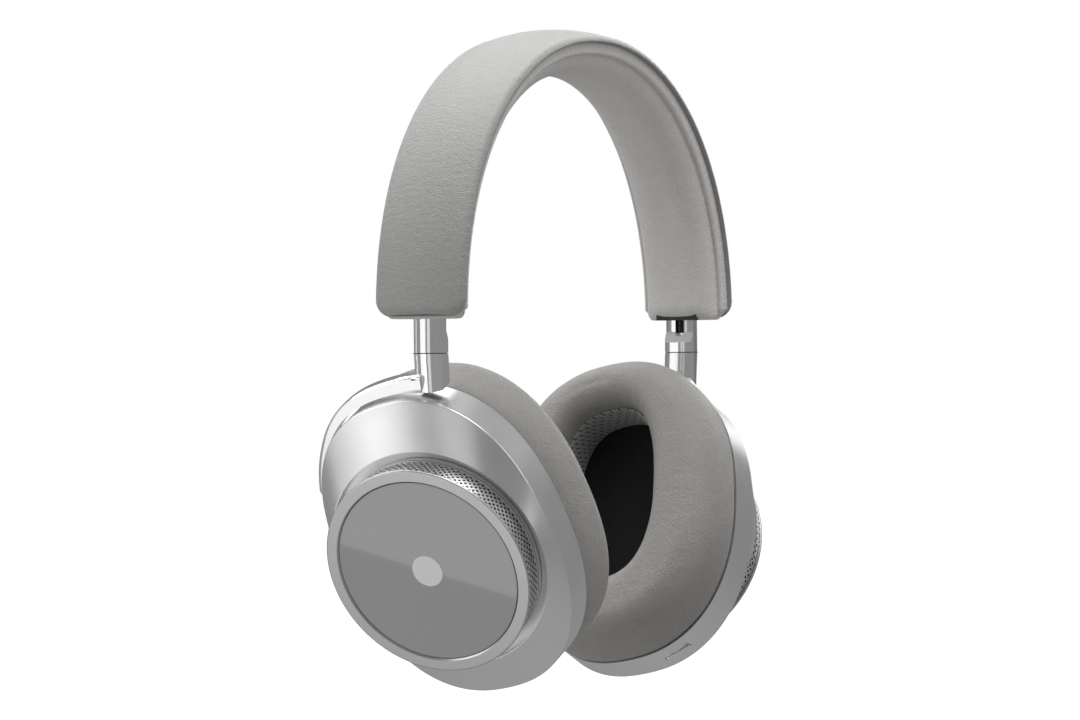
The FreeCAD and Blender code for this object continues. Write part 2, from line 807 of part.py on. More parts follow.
def save_on_side(name, side, shape):
    save(name, mirrored(shape) if side == "left" else shape)


def both_sides(shape):
    return shape.fuse(mirrored(shape))


def make_headband():
    stem_run = both_sides(stem_channel(leg_z + stem_engaged + slide_in + 1.5))
    guide_room = both_sides(guide_block(0.05))
    stiffener_space = headband_stiffener_space()
    cover = headband_cover(stiffener_space)
    outline = leg_outline(band_half_width - cover_leather, leg_z + cover_lift, cover_corner, False)
    stiffener = stiffener_space.common(outline).cut(stem_run).cut(guide_room)
    spring = headband_spring()
    foam_room = foam_space()
    taken = [guide_room, stem_run, swept(strip_profile(spring_half_width, -spring_thickness, 0))]
    pad = pad_blank().cut([foam_room] + taken)
    foam = foam_room.cut(taken)
    save("headband_cover", cover)
    save("headband_stiffener", stiffener)
    save("headband_spring", spring)
    save("headband_pad", pad)
    save("headband_foam", foam)
    return cover.fuse(pad)


def make_side(side, headband_skin):
    save_on_side("slider_guide_" + side, side, slider_guide(headband_skin))
    save_on_side("detent_spring_" + side, side, leaf_pocket(0))
    save_on_side("upper_stem_" + side, side, upper_stem())
    save_on_side("stem_wire_" + side, side, stem_wire())
    save_on_side("swivel_pin_" + side, side, pin_bore(swivel_pin_radius))
    save_on_side("yoke_" + side, side, yoke())
    save_on_side("tilt_pin_" + side, side, tilt_pin())
    cup_pieces = {
        "cup_shell": cup_shell(side),
        "tilt_bush": tilt_bush(),
        "perforated_ring": perforated_ring(),
        "cap_bezel": cap_bezel(),
        "cap_disc": cap_disc(),
        "cap_badge": cap_badge(),
        "cap_tray": cap_tray(side),
        "baffle_plate": baffle_plate(),
        "baffle_screws": baffle_screws(),
        "driver_frame": driver_frame(),
        "driver_magnet": driver_magnet(),
        "driver_diaphragm": diaphragm(),
        "cushion_ring": cushion_ring(),
        "speaker_cover": speaker_cover(),
        "ear_cushion": ear_cushion(),
        "cushion_lining": cushion_lining(),
    }
    for name, shape in cup_pieces.items():
        save_on_side(name + "_" + side, side, in_cup(shape))
    for name, (angle, length) in side_buttons(side).items():
        save_on_side(name, side, in_cup(button(angle, length)))


def main():
    os.makedirs("parts", exist_ok=True)
    skin = make_headband()
    for side in ("right", "left"):
        make_side(side, skin)
    save_on_side("circuit_board", "right", in_cup(circuit_board()))
    save_on_side("charging_socket", "right", in_cup(socket()))
    save_on_side("battery_cell", "left", in_cup(battery_cell()))


main()
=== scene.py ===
import json
import math

import bmesh
import bpy
import numpy as np
from mathutils import Matrix, Vector, noise


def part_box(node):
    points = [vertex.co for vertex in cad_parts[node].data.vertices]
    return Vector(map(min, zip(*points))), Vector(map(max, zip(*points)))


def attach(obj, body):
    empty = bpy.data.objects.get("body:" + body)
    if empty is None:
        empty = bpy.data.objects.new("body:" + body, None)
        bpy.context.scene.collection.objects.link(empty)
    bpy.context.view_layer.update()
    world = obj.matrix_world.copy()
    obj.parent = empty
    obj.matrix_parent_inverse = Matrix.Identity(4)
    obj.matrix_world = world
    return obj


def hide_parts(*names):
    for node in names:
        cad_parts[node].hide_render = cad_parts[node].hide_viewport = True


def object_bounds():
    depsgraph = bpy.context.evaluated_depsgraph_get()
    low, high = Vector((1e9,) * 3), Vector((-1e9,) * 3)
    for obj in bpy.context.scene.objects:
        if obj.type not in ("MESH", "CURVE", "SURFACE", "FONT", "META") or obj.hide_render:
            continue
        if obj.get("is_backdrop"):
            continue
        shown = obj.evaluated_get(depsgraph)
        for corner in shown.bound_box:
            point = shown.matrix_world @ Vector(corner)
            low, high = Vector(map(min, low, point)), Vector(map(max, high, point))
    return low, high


bl_info = {
    "name": "Over ear headphones",
    "version": (1, 0, 0),
    "blender": (4, 5, 0),
    "location": "3D View > Sidebar > Headphones",
    "description": "Leather, metal, glass and cloth for a pair of over ear headphones",
    "category": "Object",
}

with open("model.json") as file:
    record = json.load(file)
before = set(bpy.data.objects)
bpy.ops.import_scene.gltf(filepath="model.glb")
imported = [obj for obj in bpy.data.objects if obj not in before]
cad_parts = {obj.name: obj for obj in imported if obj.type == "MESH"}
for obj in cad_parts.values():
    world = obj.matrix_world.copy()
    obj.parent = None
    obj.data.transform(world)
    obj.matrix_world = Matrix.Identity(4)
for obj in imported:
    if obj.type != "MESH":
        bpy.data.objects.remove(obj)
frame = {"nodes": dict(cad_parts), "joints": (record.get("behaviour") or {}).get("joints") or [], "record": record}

MM = 0.001
SIDES = ("right", "left")
CUP_LEAN = math.radians(12.5)      # the oval's long axis leans to the rear
OVAL_POWER = 2.32
OPENING_POWER = 2.6
ARCH_POWER = 2.12


# ---- Places taken from the frame ----
def record_item(group, name):
    """The joint or mount of that name."""
    items = frame["joints"] if group == "joints" else frame["record"]["mounts"]
    return next(item for item in items if item["name"] == name)


cup_in = -Vector(record_item("mounts", "right_cap_face")["axis"]).normalized()
cup_rear = Vector(record_item("joints", "tilt_right")["axis"]).normalized()
cup_up = cup_in.cross(cup_rear)


def node_points(node, *axes):
    """Places of a node's vertices along each of the axes, one row for each axis."""
    mesh = frame["nodes"][node].data
    points = np.empty(len(mesh.vertices) * 3)
    mesh.vertices.foreach_get("co", points)
    return (points.reshape(-1, 3) @ np.array(axes).T).T


disc_low, disc_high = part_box("cap_disc_right")
disc_depths = node_points("cap_disc_right", cup_in)[0]
disc_front = disc_depths.min()
cup_centre = (disc_low + disc_high) / 2 - cup_in * (disc_depths.max() - disc_front) / 2


def depth_span(node):
    """Lowest and highest depth of a right cup node behind the face of the cap."""
    depths = node_points(node, cup_in)[0] - disc_front
    return float(depths.min()), float(depths.max())


def oval_span(node):
    """Half width, half height and height of the centre of a right cup node, along the leaned oval's axes."""
    leaned_x = cup_rear * math.cos(CUP_LEAN) - cup_up * math.sin(CUP_LEAN)
    leaned_y = cup_rear * math.sin(CUP_LEAN) + cup_up * math.cos(CUP_LEAN)
    across, along = node_points(node, leaned_x, leaned_y)
    centre = cup_centre.dot(leaned_y)
    return (float(across.max() - across.min()) / 2, float(along.max() - along.min()) / 2,
            float(along.max() + along.min()) / 2 - centre)


cushion_half_width, cushion_half_height, oval_lift = oval_span("ear_cushion_right")
opening_half_width, opening_half_height, _ = oval_span("cushion_lining_right")
OPENING_SHIFT = Vector((0.9, 3.4)) * MM     # the padding crowds the opening's front and lower end
opening_half_width -= 1.5 * MM
opening_half_height += 0.6 * MM
cushion_base, cushion_face = depth_span("ear_cushion_right")
lining_low, lining_high = depth_span("cushion_lining_right")
cloth_high = depth_span("speaker_cover_right")[1]
pad_low, pad_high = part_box("headband_pad")
cover_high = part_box("headband_cover")[1]
arch_half_span = pad_high.x
arch_rise = pad_high.z - pad_low.z
leg_end = pad_low.z
band_half_width = cover_high.y
pad_half_width = pad_high.y


# ---- Settings that a user would change ----
def length(name, default, description):
    return bpy.props.FloatProperty(name=name, default=default * MM, description=description,
                                   unit="LENGTH", precision=5)


def colour(name, default, description):
    return bpy.props.FloatVectorProperty(name=name, default=(*default, 1.0), size=4, subtype="COLOR",
                                         min=0.0, max=1.0, description=description)


class HeadphoneSizes(bpy.types.PropertyGroup):
    cover_edge: length("Cover edge", 2.4, "Radius of the leather cover's edge")
    cover_corner: length("Cover corner", 5.5, "Radius of the cover's lower corners")
    cover_lift: length("Cover lift", 0.6, "The cover ends this much above the pad")
    pad_flange: length("Pad flange", 3.8, "Thickness of the pad's flat border")
    pad_depth: length("Pad depth", 10.2, "Thickness of the pad at its middle")
    pad_chamfer: length("Pad chamfer", 3.5, "Cut of the pad's lower corners")
    stitch_row: length("Stitch row", 12.9, "Distance of the stitches from the middle of the band")
    stitch_pitch: length("Stitch pitch", 2.9, "Distance from one stitch to the next")
    stitch_length: length("Stitch length", 2.0, "Length of one stitch")
    stitch_radius: length("Stitch radius", 0.24, "Half the thickness of the thread")
    cushion_outer_round: length("Cushion outer round", 8.6, "Radius of the ear cushion's outer edge")
    cushion_inner_round: length("Cushion inner round", 6.4, "Radius of the ear cushion's inner edge")
    cushion_bulge: length("Cushion bulge", 1.3, "How far the ear cushion's outer wall swells")
    bezel_edge: length("Bezel edge", 1.05, "Thickness of the bezel's visible edge")
    hole_radius: length("Hole radius", 0.46, "Radius of one hole of the perforated ring")
    hole_row_spacing: length("Hole row spacing", 1.0, "Distance between two rows of holes")
    hole_first_row: length("First row of holes", 0.95, "Distance of the first row from the ring's edge")
    hole_rows: bpy.props.IntProperty(name="Hole rows", default=7, min=1, max=12,
                                     description="Number of rows of holes")
    holes_per_row: bpy.props.IntProperty(name="Holes per row", default=97, min=24, max=200,
                                         description="Number of holes round the ring")


class HeadphoneColours(bpy.types.PropertyGroup):
    cover: colour("Cover leather", (0.42, 0.416, 0.408), "Outer leather of the headband")
    pad: colour("Pad leather", (0.82, 0.805, 0.785), "Inner leather of the headband")
    cushion: colour("Cushion leather", (0.37, 0.36, 0.345), "Leather of the ear cushions")
    lining: colour("Knitted lining", (0.26, 0.26, 0.255), "Knitted mesh inside the ear cushions")
    speaker_cloth: colour("Speaker cloth", (0.011, 0.011, 0.011), "Cloth over the speakers")
    satin_metal: colour("Satin metal", (0.78, 0.78, 0.785), "Anodised metal of the cups")
    bezel_metal: colour("Bezel metal", (0.55, 0.55, 0.555), "Anodised metal of the cap bezels")
    bright_metal: colour("Bright metal", (0.88, 0.88, 0.89), "Polished metal of the stems and yokes")
    grille_metal: colour("Grille metal", (0.7, 0.7, 0.705), "Metal of the perforated rings")
    cap_glass: colour("Cap glass", (0.395, 0.395, 0.397), "Glass disc of the caps")
    badge: colour("Badge", (0.82, 0.82, 0.825), "Round badge in the glass disc")
    light_thread: colour("Light thread", (0.50, 0.49, 0.47), "Thread of the front row of stitches")
    dark_thread: colour("Dark thread", (0.06, 0.06, 0.06), "Thread of the rear row of stitches")


# ---- Building meshes ----
def superellipse(half_width, half_height, power, angle):
    """Point and outward unit normal of a superellipse at a polar angle."""
    c, s = math.cos(angle), math.sin(angle)
    reach = ((abs(c) / half_width) ** power + (abs(s) / half_height) ** power) ** (-1 / power)
    x, y = reach * c, reach * s
    normal = Vector((math.copysign(abs(x / half_width) ** (power - 1) / half_width, x),
                     math.copysign(abs(y / half_height) ** (power - 1) / half_height, y)))
    return Vector((x, y)), normal.normalized()


def cup_point(flat, depth):
    """A point of the right cup from its place in the leaned oval's plane and its depth behind the cap."""
    x = flat.x * math.cos(CUP_LEAN) + flat.y * math.sin(CUP_LEAN)
    y = -flat.x * math.sin(CUP_LEAN) + flat.y * math.cos(CUP_LEAN)
    return cup_centre + cup_rear * x + cup_up * y + cup_in * depth


def oval_at(half_width, half_height, power, angle, outward, depth, shift):
    """A point on an oval of the right cup, shifted in its plane and moved outward along its normal."""
    point, normal = superellipse(half_width, half_height, power, angle)
    return cup_point(point + normal * outward + shift + Vector((0, oval_lift)), depth)


def mirrored(points):
    return [Vector((-p.x, p.y, p.z)) for p in points]


def new_object(name, mesh):
    piece = bpy.data.objects.new(name, mesh)
    bpy.context.scene.collection.objects.link(piece)
    return piece


def mesh_piece(name, points, faces, flat_map=None, side="right"):
    """A smooth piece from points and faces; flat_map holds a place on the material's plane for each point."""
    if side == "left":
        points, faces = mirrored(points), [tuple(reversed(face)) for face in faces]
    mesh = bpy.data.meshes.new(name)
    mesh.from_pydata([tuple(p) for p in points], [], faces)
    mesh.polygons.foreach_set("use_smooth", [True] * len(mesh.polygons))
    if flat_map:
        layer = mesh.uv_layers.new(name="Flat")
        for loop in mesh.loops:
            layer.data[loop.index].uv = flat_map[loop.vertex_index]
    mesh.update()
    return new_object(name, mesh)


def grid_faces(rows, columns, close_rows=False, close_columns=False):
    """Quads between neighbouring rows of a grid whose points are listed row by row."""
    faces = []
    for i in range(rows if close_rows else rows - 1):
        for j in range(columns if close_columns else columns - 1):
            a, b = i * columns + j, i * columns + (j + 1) % columns
            c = ((i + 1) % rows) * columns
            faces.append((a, b, c + (j + 1) % columns, c + j))
    return faces


def point_outward(piece):
    """Turns every face of a closed piece outward."""
    edit = bmesh.new()
    edit.from_mesh(piece.data)
    bmesh.ops.recalc_face_normals(edit, faces=edit.faces)
    edit.to_mesh(piece.data)
    edit.free()


def apply_modifiers(piece):
    """Turns the evaluated shape into the piece's own mesh."""
    graph = bpy.context.evaluated_depsgraph_get()
    mesh = bpy.data.meshes.new_from_object(piece.evaluated_get(graph))
    piece.modifiers.clear()
    piece.data = mesh
    return piece


def subdivide(piece, levels=1):
    modifier = piece.modifiers.new("Smooth", "SUBSURF")
    modifier.levels = modifier.render_levels = levels
    return apply_modifiers(piece)


def sharpen(piece, degrees):
    """Marks edges sharper than an angle, so that broad faces keep their own shading."""
    piece.data.set_sharp_from_angle(angle=math.radians(degrees))


def join_doubles(piece, distance=1e-7):
    """Joins points that lie on each other and turns every face outward."""
    edit = bmesh.new()
    edit.from_mesh(piece.data)
    bmesh.ops.remove_doubles(edit, verts=edit.verts, dist=distance)
    bmesh.ops.recalc_face_normals(edit, faces=edit.faces)
    edit.to_mesh(piece.data)
    edit.free()


def lathe(name, profile, side, around=192):
    """A turned piece round the cup's axis from a closed outline of radius and depth."""
    points = []
    for i in range(around):
        angle = 2 * math.pi * i / around
        spoke = cup_rear * math.cos(angle) + cup_up * math.sin(angle)
        points += [cup_centre + spoke * radius + cup_in * depth for radius, depth in profile]
    piece = mesh_piece(name, points, grid_faces(around, len(profile), True, True), None, side)
    join_doubles(piece)
    sharpen(piece, 25)
    return piece


def radius_of(node):
    """Outer radius of a round right cup node."""
    across, along = node_points(node, cup_rear, cup_up)
    return float(np.hypot(across - cup_centre.dot(cup_rear), along - cup_centre.dot(cup_up)).max())


def quarter(centre_radius, centre_depth, size, start, steps=6):
    """Quarter circle of an outline, from a start angle in degrees, turning towards greater radius first."""
    turns = [math.radians(start + 90 * i / steps) for i in range(steps + 1)]
    return [(centre_radius + size * math.sin(turn), centre_depth - size * math.cos(turn)) for turn in turns]


def eased_between(value, low, high):
    """0 below the low value, 1 above the high one, and a soft step between."""
    share = max(0.0, min(1.0, (value - low) / (high - low)))
    return share * share * (3 - 2 * share)


def crowned_copy(node, name, crown):
    """A joined copy of a node whose normals are bent by crown(place, normal), to round its flat faces."""
    mesh = frame["nodes"][node].data.copy()
    mesh.name = name
    edit = bmesh.new()
    edit.from_mesh(mesh)
    bent = edit.loops.layers.float_vector.new("bent")
    normals = [corner.vector.copy() for corner in mesh.corner_normals]
    edit.faces.ensure_lookup_table()
    for face, polygon in zip(edit.faces, mesh.polygons):
        for loop, index in zip(face.loops, polygon.loop_indices):
            loop[bent] = crown(loop.vert.co, normals[index])
    bmesh.ops.remove_doubles(edit, verts=edit.verts, dist=1e-7)
    edit.to_mesh(mesh)
    edit.free()
    layer = mesh.attributes["bent"]
    mesh.normals_split_custom_set([tuple(item.vector) for item in layer.data])
    mesh.attributes.remove(mesh.attributes["bent"])
    return new_object(name, mesh)


def finish_piece(piece, body, material, replaced=()):
    piece.data.materials.clear()
    piece.data.materials.append(material)
    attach(piece, body)
    if replaced:
        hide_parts(*replaced)
    return piece


# ---- Materials ----
class Shader:
    """A material's node tree with short ways to add and join nodes."""

    def __init__(self, name):
        self.material = bpy.data.materials.new(name)
        self.material.use_nodes = True
        self.tree = self.material.node_tree
        self.principled = self.tree.nodes["Principled BSDF"]

    def add(self, kind, **settings):
        node = self.tree.nodes.new("ShaderNode" + kind)
        for key, value in settings.items():
            setattr(node, key, value)
        return node

    def join(self, output, target):
        self.tree.links.new(output, target)

    def drive(self, name, output):
        """Joins an output to an input of the principled shader."""
        self.join(output, self.principled.inputs[name])

    def fix(self, **values):
        """Sets constant inputs of the principled shader."""
        for key, value in values.items():
            self.principled.inputs[key.replace("_", " ").title().replace("Ior", "IOR")].default_value = value

    def place(self, source, scale=(1.0, 1.0, 1.0)):
        """Coordinates of the piece, scaled: source is Object or UV."""
        coordinates = self.add("TexCoord")
        mapping = self.add("Mapping")
        mapping.inputs["Scale"].default_value = scale
        self.join(coordinates.outputs[source], mapping.inputs["Vector"])
        return mapping.outputs["Vector"]

    def noise(self, vector, scale, detail=3.0, roughness=0.55, distortion=0.0):
        node = self.add("TexNoise")
        self.join(vector, node.inputs["Vector"])
        node.inputs["Scale"].default_value = scale
        node.inputs["Detail"].default_value = detail
        node.inputs["Roughness"].default_value = roughness
        node.inputs["Distortion"].default_value = distortion
        return node.outputs["Fac"]

    def cells(self, vector, scale, feature="DISTANCE_TO_EDGE", randomness=1.0):
        node = self.add("TexVoronoi", feature=feature)
        self.join(vector, node.inputs["Vector"])
        node.inputs["Scale"].default_value = scale
        node.inputs["Randomness"].default_value = randomness
        return node.outputs["Distance"]

    def math(self, operation, a, b=0.0, clamp=False):
        node = self.add("Math", operation=operation, use_clamp=clamp)
        for value, target in ((a, node.inputs[0]), (b, node.inputs[1])):
            if isinstance(value, (int, float)):
                target.default_value = value
            else:
                self.join(value, target)
        return node.outputs[0]

    def span(self, value, low, high, to_low, to_high):
        """Maps a value from one range to another, without leaving the second."""
        node = self.add("MapRange")
        self.join(value, node.inputs["Value"])
        for key, number in zip(("From Min", "From Max", "To Min", "To Max"), (low, high, to_low, to_high)):
            node.inputs[key].default_value = number
        return node.outputs["Result"]

    def blend(self, factor, first, second):
        """Mixes two colours by a factor and returns the colour."""
        node = self.add("Mix", data_type="RGBA")
        self.join(factor, node.inputs["Factor"])
        for value, key in ((first, "A"), (second, "B")):
            target = next(s for s in node.inputs if s.name == key and s.type == "RGBA")
            if isinstance(value, (tuple, list)):
                target.default_value = value
            else:
                self.join(value, target)
        return next(s for s in node.outputs if s.type == "RGBA")

    def bump(self, height, depth, strength=1.0, normal=None):
        node = self.add("Bump")
        node.inputs["Strength"].default_value = strength
        node.inputs["Distance"].default_value = depth
        self.join(height, node.inputs["Height"])
        if normal:
            self.join(normal, node.inputs["Normal"])
        return node.outputs["Normal"]


def shade(base, share):
    """A colour made darker or lighter by a share."""
    return (base[0] * share, base[1] * share, base[2] * share, 1.0)


def leather(name, base, source, grain, crease, crease_depth, roughness):
    """Soft leather: small grain cells, longer creases across them, painted shade in the grain lines and creases,
    and slightly uneven colour.
    """
    shader = Shader(name)
    flat = shader.place(source)
    creased = shader.place(source, crease)
    bend = shader.noise(flat, 90.0, 2.0)
    grain_height = shader.span(shader.cells(flat, grain), 0.0, 0.35, 0.0, 1.0)
    crease_height = shader.span(shader.noise(creased, 1.0, 4.0, 0.6, 0.6), 0.35, 0.62, 0.0, 1.0)
    fine = shader.noise(flat, grain * 2.6, 2.0)
    normal = shader.bump(crease_height, crease_depth)
    normal = shader.bump(grain_height, 0.00011, 0.9, normal)
    normal = shader.bump(fine, 0.00004, 0.6, normal)
    shader.drive("Normal", normal)
    worn = shader.span(bend, 0.3, 0.7, 0.0, 1.0)
    even = shader.blend(worn, shade(base, 0.955), shade(base, 1.03))
    # painted shade: the colour darkens to 0.80 of the base in the grain lines and creases, where shade would fall
    painted_groove_shade = shader.math("MULTIPLY", grain_height, shader.span(crease_height, 0.0, 1.0, 0.75, 1.0))
    shader.drive("Base Color", shader.blend(painted_groove_shade, shade(base, 0.80), even))
    shader.drive("Roughness", shader.span(fine, 0.3, 0.7, roughness - 0.05, roughness + 0.07))
    shader.fix(sheen_weight=0.12, sheen_roughness=0.5, specular_ior_level=0.38)
    return shader.material


def satin_metal(name, base, roughness, spread=0.05, grain=0.000006):
    """Bead blasted, anodised metal: a very fine even grain and slightly uneven gloss."""
    shader = Shader(name)
    place = shader.place("Object")
    cloud = shader.noise(place, 60.0, 2.0)
    shader.drive("Normal", shader.bump(shader.noise(place, 5200.0, 1.0), grain, 0.5))
    shader.drive("Base Color", shader.blend(cloud, shade(base, 0.975), shade(base, 1.02)))
    shader.drive("Roughness", shader.span(cloud, 0.3, 0.7, roughness - spread / 2, roughness + spread / 2))
    shader.fix(metallic=1.0)
    return shader.material


def glass_disc(name, base):
    """Opaque grey glass under a clear gloss coat."""
    shader = Shader(name)
    place = shader.place("Object")
    cloud = shader.noise(place, 25.0, 1.0)
    shader.drive("Base Color", shader.blend(cloud, shade(base, 0.985), shade(base, 1.015)))
    shader.drive("Roughness", shader.span(shader.noise(place, 3000.0, 1.0), 0.3, 0.7, 0.03, 0.05))
    shader.fix(coat_weight=1.0, coat_roughness=0.01, coat_ior=1.52, specular_ior_level=0.5)
    return shader.material


def knitted(name, base):
    """Knitted mesh: slanting ribs with small dark gaps between the loops."""
    shader = Shader(name)
    coordinates = shader.add("TexCoord")
    parts = shader.add("SeparateXYZ")
    shader.join(coordinates.outputs["UV"], parts.inputs["Vector"])
    around = shader.math("MULTIPLY", parts.outputs["X"], 2 * math.pi / 0.0014)
    upward = shader.math("MULTIPLY", parts.outputs["Y"], 2 * math.pi / 0.0021)
    slant = shader.math("ADD", around, shader.math("MULTIPLY", upward, 0.55))
    rib = shader.math("SINE", slant)
    row = shader.math("SINE", shader.math("ADD", upward, shader.math("MULTIPLY", around, 0.5)))
    loops = shader.math("ADD", shader.math("MULTIPLY", rib, 0.6), shader.math("MULTIPLY", row, 0.4))
    gap = shader.span(loops, -0.95, -0.2, 0.0, 1.0)
    fuzz = shader.noise(coordinates.outputs["UV"], 2500.0, 2.0)
    normal = shader.bump(gap, 0.00035)
    normal = shader.bump(fuzz, 0.00008, 0.5, normal)
    shader.drive("Normal", normal)
    yarn = shader.blend(fuzz, shade(base, 0.85), shade(base, 1.2))
    shader.drive("Base Color", shader.blend(gap, shade(base, 0.22), yarn))
    shader.drive("Roughness", shader.span(fuzz, 0.3, 0.7, 0.75, 0.95))
    shader.fix(sheen_weight=0.2)
    return shader.material


def fine_cloth(name, base, scale=1400.0, depth=0.00008):
    """Thin plain cloth with a small soft grain."""
    shader = Shader(name)
    place = shader.place("Object")
    weave = shader.cells(place, scale, "F1", 0.4)
    mottled = shader.noise(place, 400.0, 3.0)
    shader.drive("Normal", shader.bump(weave, depth))
    shader.drive("Base Color", shader.blend(mottled, shade(base, 0.6), shade(base, 1.6)))
    shader.drive("Roughness", shader.span(mottled, 0.3, 0.7, 0.85, 1.0))
    shader.fix(sheen_weight=0.02, specular_ior_level=0.2)
    return shader.material


def moulded(name, base, roughness, metallic=0.0):
    """Plain moulded, plated or rubber surface with a fine texture."""
    shader = Shader(name)
    place = shader.place("Object")
    grain = shader.noise(place, 2200.0, 2.0)
    shader.drive("Normal", shader.bump(grain, 0.00002))
    shader.drive("Base Color", shader.blend(grain, shade(base, 0.9), shade(base, 1.1)))
    shader.drive("Roughness", shader.span(grain, 0.3, 0.7, roughness - 0.04, roughness + 0.06))
    shader.fix(metallic=metallic)
    return shader.material


def thread(name, base):
    """Twisted thread."""
    shader = Shader(name)
    place = shader.place("Object")
    twist = shader.noise(place, 3500.0, 2.0)
    shader.drive("Normal", shader.bump(twist, 0.00006))
    shader.drive("Base Color", shader.blend(twist, shade(base, 0.75), shade(base, 1.15)))
    shader.drive("Roughness", shader.span(twist, 0.3, 0.7, 0.6, 0.8))
    return shader.material


def finish_node(node, material):
    """Gives a node of the frame its own procedural material."""
    piece = frame["nodes"][node]
    if not piece.data.materials:
        piece.data.materials.append(material)
    for slot in piece.material_slots:
        slot.material = material


# ---- Headband ----
def arch_at(angle, outward):
    """Point of the headband's seam line in the XZ plane, moved outward from the head."""
    point, normal = superellipse(arch_half_span, arch_rise, ARCH_POWER, angle)
    moved = point + normal * outward
    return Vector((-moved.x, 0.0, leg_end + moved.y))


class ArchLine:
    """The seam line by arc length: place() gives a point at a length from the right leg's end."""

    STEPS = 1440

    def __init__(self):
        self.lengths = [0.0]
        points = [arch_at(math.pi * i / self.STEPS, 0.0) for i in range(self.STEPS + 1)]
        for a, b in zip(points, points[1:]):
            self.lengths.append(self.lengths[-1] + (b - a).length)
        self.total = self.lengths[-1]

    def angle(self, distance):
        distance = min(max(distance, 0.0), self.total)
        low, high = 0, self.STEPS
        while high - low > 1:
            middle = (low + high) // 2
            if self.lengths[middle] <= distance:
                low = middle
            else:
                high = middle
        share = (distance - self.lengths[low]) / (self.lengths[high] - self.lengths[low])
        return math.pi * (low + share) / self.STEPS

    def place(self, distance, across, outward):
        point = arch_at(self.angle(distance), outward)
        point.y = across
        return point


def eased(count):
    """Numbers from 0 to 1 that crowd towards 0, as a quarter circle's run does."""
    return [1 - math.cos(math.pi / 2 * i / count) for i in range(count + 1)]


def band_columns(half_width, edge, edge_steps, middle_steps):
    """Places across the band, crowded at both edges."""
    near = [-half_width + edge * share for share in eased(edge_steps)]
    inner = half_width - edge
    middle = [-inner + 2 * inner * i / middle_steps for i in range(1, middle_steps)]
    return near + middle + [-y for y in reversed(near)]


def band_solid(name, arch, columns, end_of, edge, rows, height, base, down):
    """Closed pillow along the arch: height() over the seam line on one side, a flat base on the other."""
    points, flat_map = [], []
    ends = eased(6)
    run = [share * edge for share in ends]
    for face in (0, 1):
        for y in columns:
            start = end_of(y)
            free = arch.total - 2 * (start + edge)
            places = [start + d for d in run[:-1]]
            places += [start + edge + free * i / rows for i in range(rows + 1)]
            places += [arch.total - start - d for d in reversed(run[:-1])]
            for s in places:
                offset = base if face else height(y, s)
                points.append(arch.place(s, y, -offset if down else offset))
                flat_map.append((y, s))
    per_column = len(points) // (2 * len(columns))
    faces = grid_faces(len(columns), per_column)
    count = len(columns) * per_column
    faces += [tuple(i + count for i in reversed(face)) for face in faces]
    rim = [j * per_column for j in range(len(columns))]
    rim += [(len(columns) - 1) * per_column + i for i in range(1, per_column)]
    rim += [j * per_column + per_column - 1 for j in reversed(range(len(columns) - 1))]
    rim += [i for i in reversed(range(1, per_column - 1))]
    for a, b in zip(rim, rim[1:] + rim[:1]):
        faces.append((a, b, b + count, a + count))
    piece = mesh_piece(name, points, faces, flat_map)
    join_doubles(piece, 1e-6)
    return piece


def rounded_corner(y, half_width, corner):
    """How far a rounded corner moves the band's end at this place across it."""
    inside = abs(y) - (half_width - corner)
    if inside <= 0:
        return 0.0
    return corner - math.sqrt(max(corner ** 2 - inside ** 2, 0.0))


def edge_distance(y, s, half_width, corner, total):
    """Distance to the outline of a strip with round corners."""
    end = min(s, total - s)
    side = half_width - abs(y)
    if side < corner and end < corner:
        return corner - math.hypot(corner - side, corner - end)
    return min(side, end)


class HEADPHONES_OT_headband_cover(bpy.types.Operator):
    """Builds the outer leather cover of the headband"""
    bl_idname = "headphones.headband_cover"
    bl_label = "Headband cover"

    def execute(self, context):
        sizes = context.scene.headphone_sizes
        arch = ArchLine()
        edge, corner = sizes.cover_edge, sizes.cover_corner
        crown = cover_high.z - pad_high.z
        shoulder = band_half_width - edge

        def end_of(y):
            return sizes.cover_lift + rounded_corner(y, band_half_width, corner)

        def height(y, s):
            strip = arch.total - 2 * sizes.cover_lift
            d = edge_distance(y, s - sizes.cover_lift, band_half_width, corner, strip)
            d = min(max(d, 0.0), edge)
            roll = math.sqrt(max(edge ** 2 - (edge - d) ** 2, 0.0))
            rise = (crown - edge) * (1 - min(abs(y) / shoulder, 1.0) ** 2)
            return roll + rise * roll / edge

        columns = band_columns(band_half_width, edge, 7, 22)
        piece = band_solid("headband_cover_leather", arch, columns, end_of, edge, 210, height, 0.0, False)
        material = leather("cover_leather", context.scene.headphone_colours.cover, "UV", 1500.0,
                           (260.0, 640.0, 1.0), 0.00008, 0.46)
        finish_piece(piece, "headband", material, ["headband_cover"])
        return {"FINISHED"}


def pad_height(sizes, y):
    """Depth of the pad under the seam line: a flat border, a stitched valley and a padded middle."""
    row = sizes.stitch_row
    valley = sizes.pad_flange - 0.45 * MM
    if abs(y) >= row:
        out = min((abs(y) - row) / (1.0 * MM), 1.0)
        return valley + (sizes.pad_flange - valley) * math.sin(out * math.pi / 2)
    share = abs(y) / row
    return valley + (sizes.pad_depth - valley) * (1 - share ** 3.2) ** 0.62


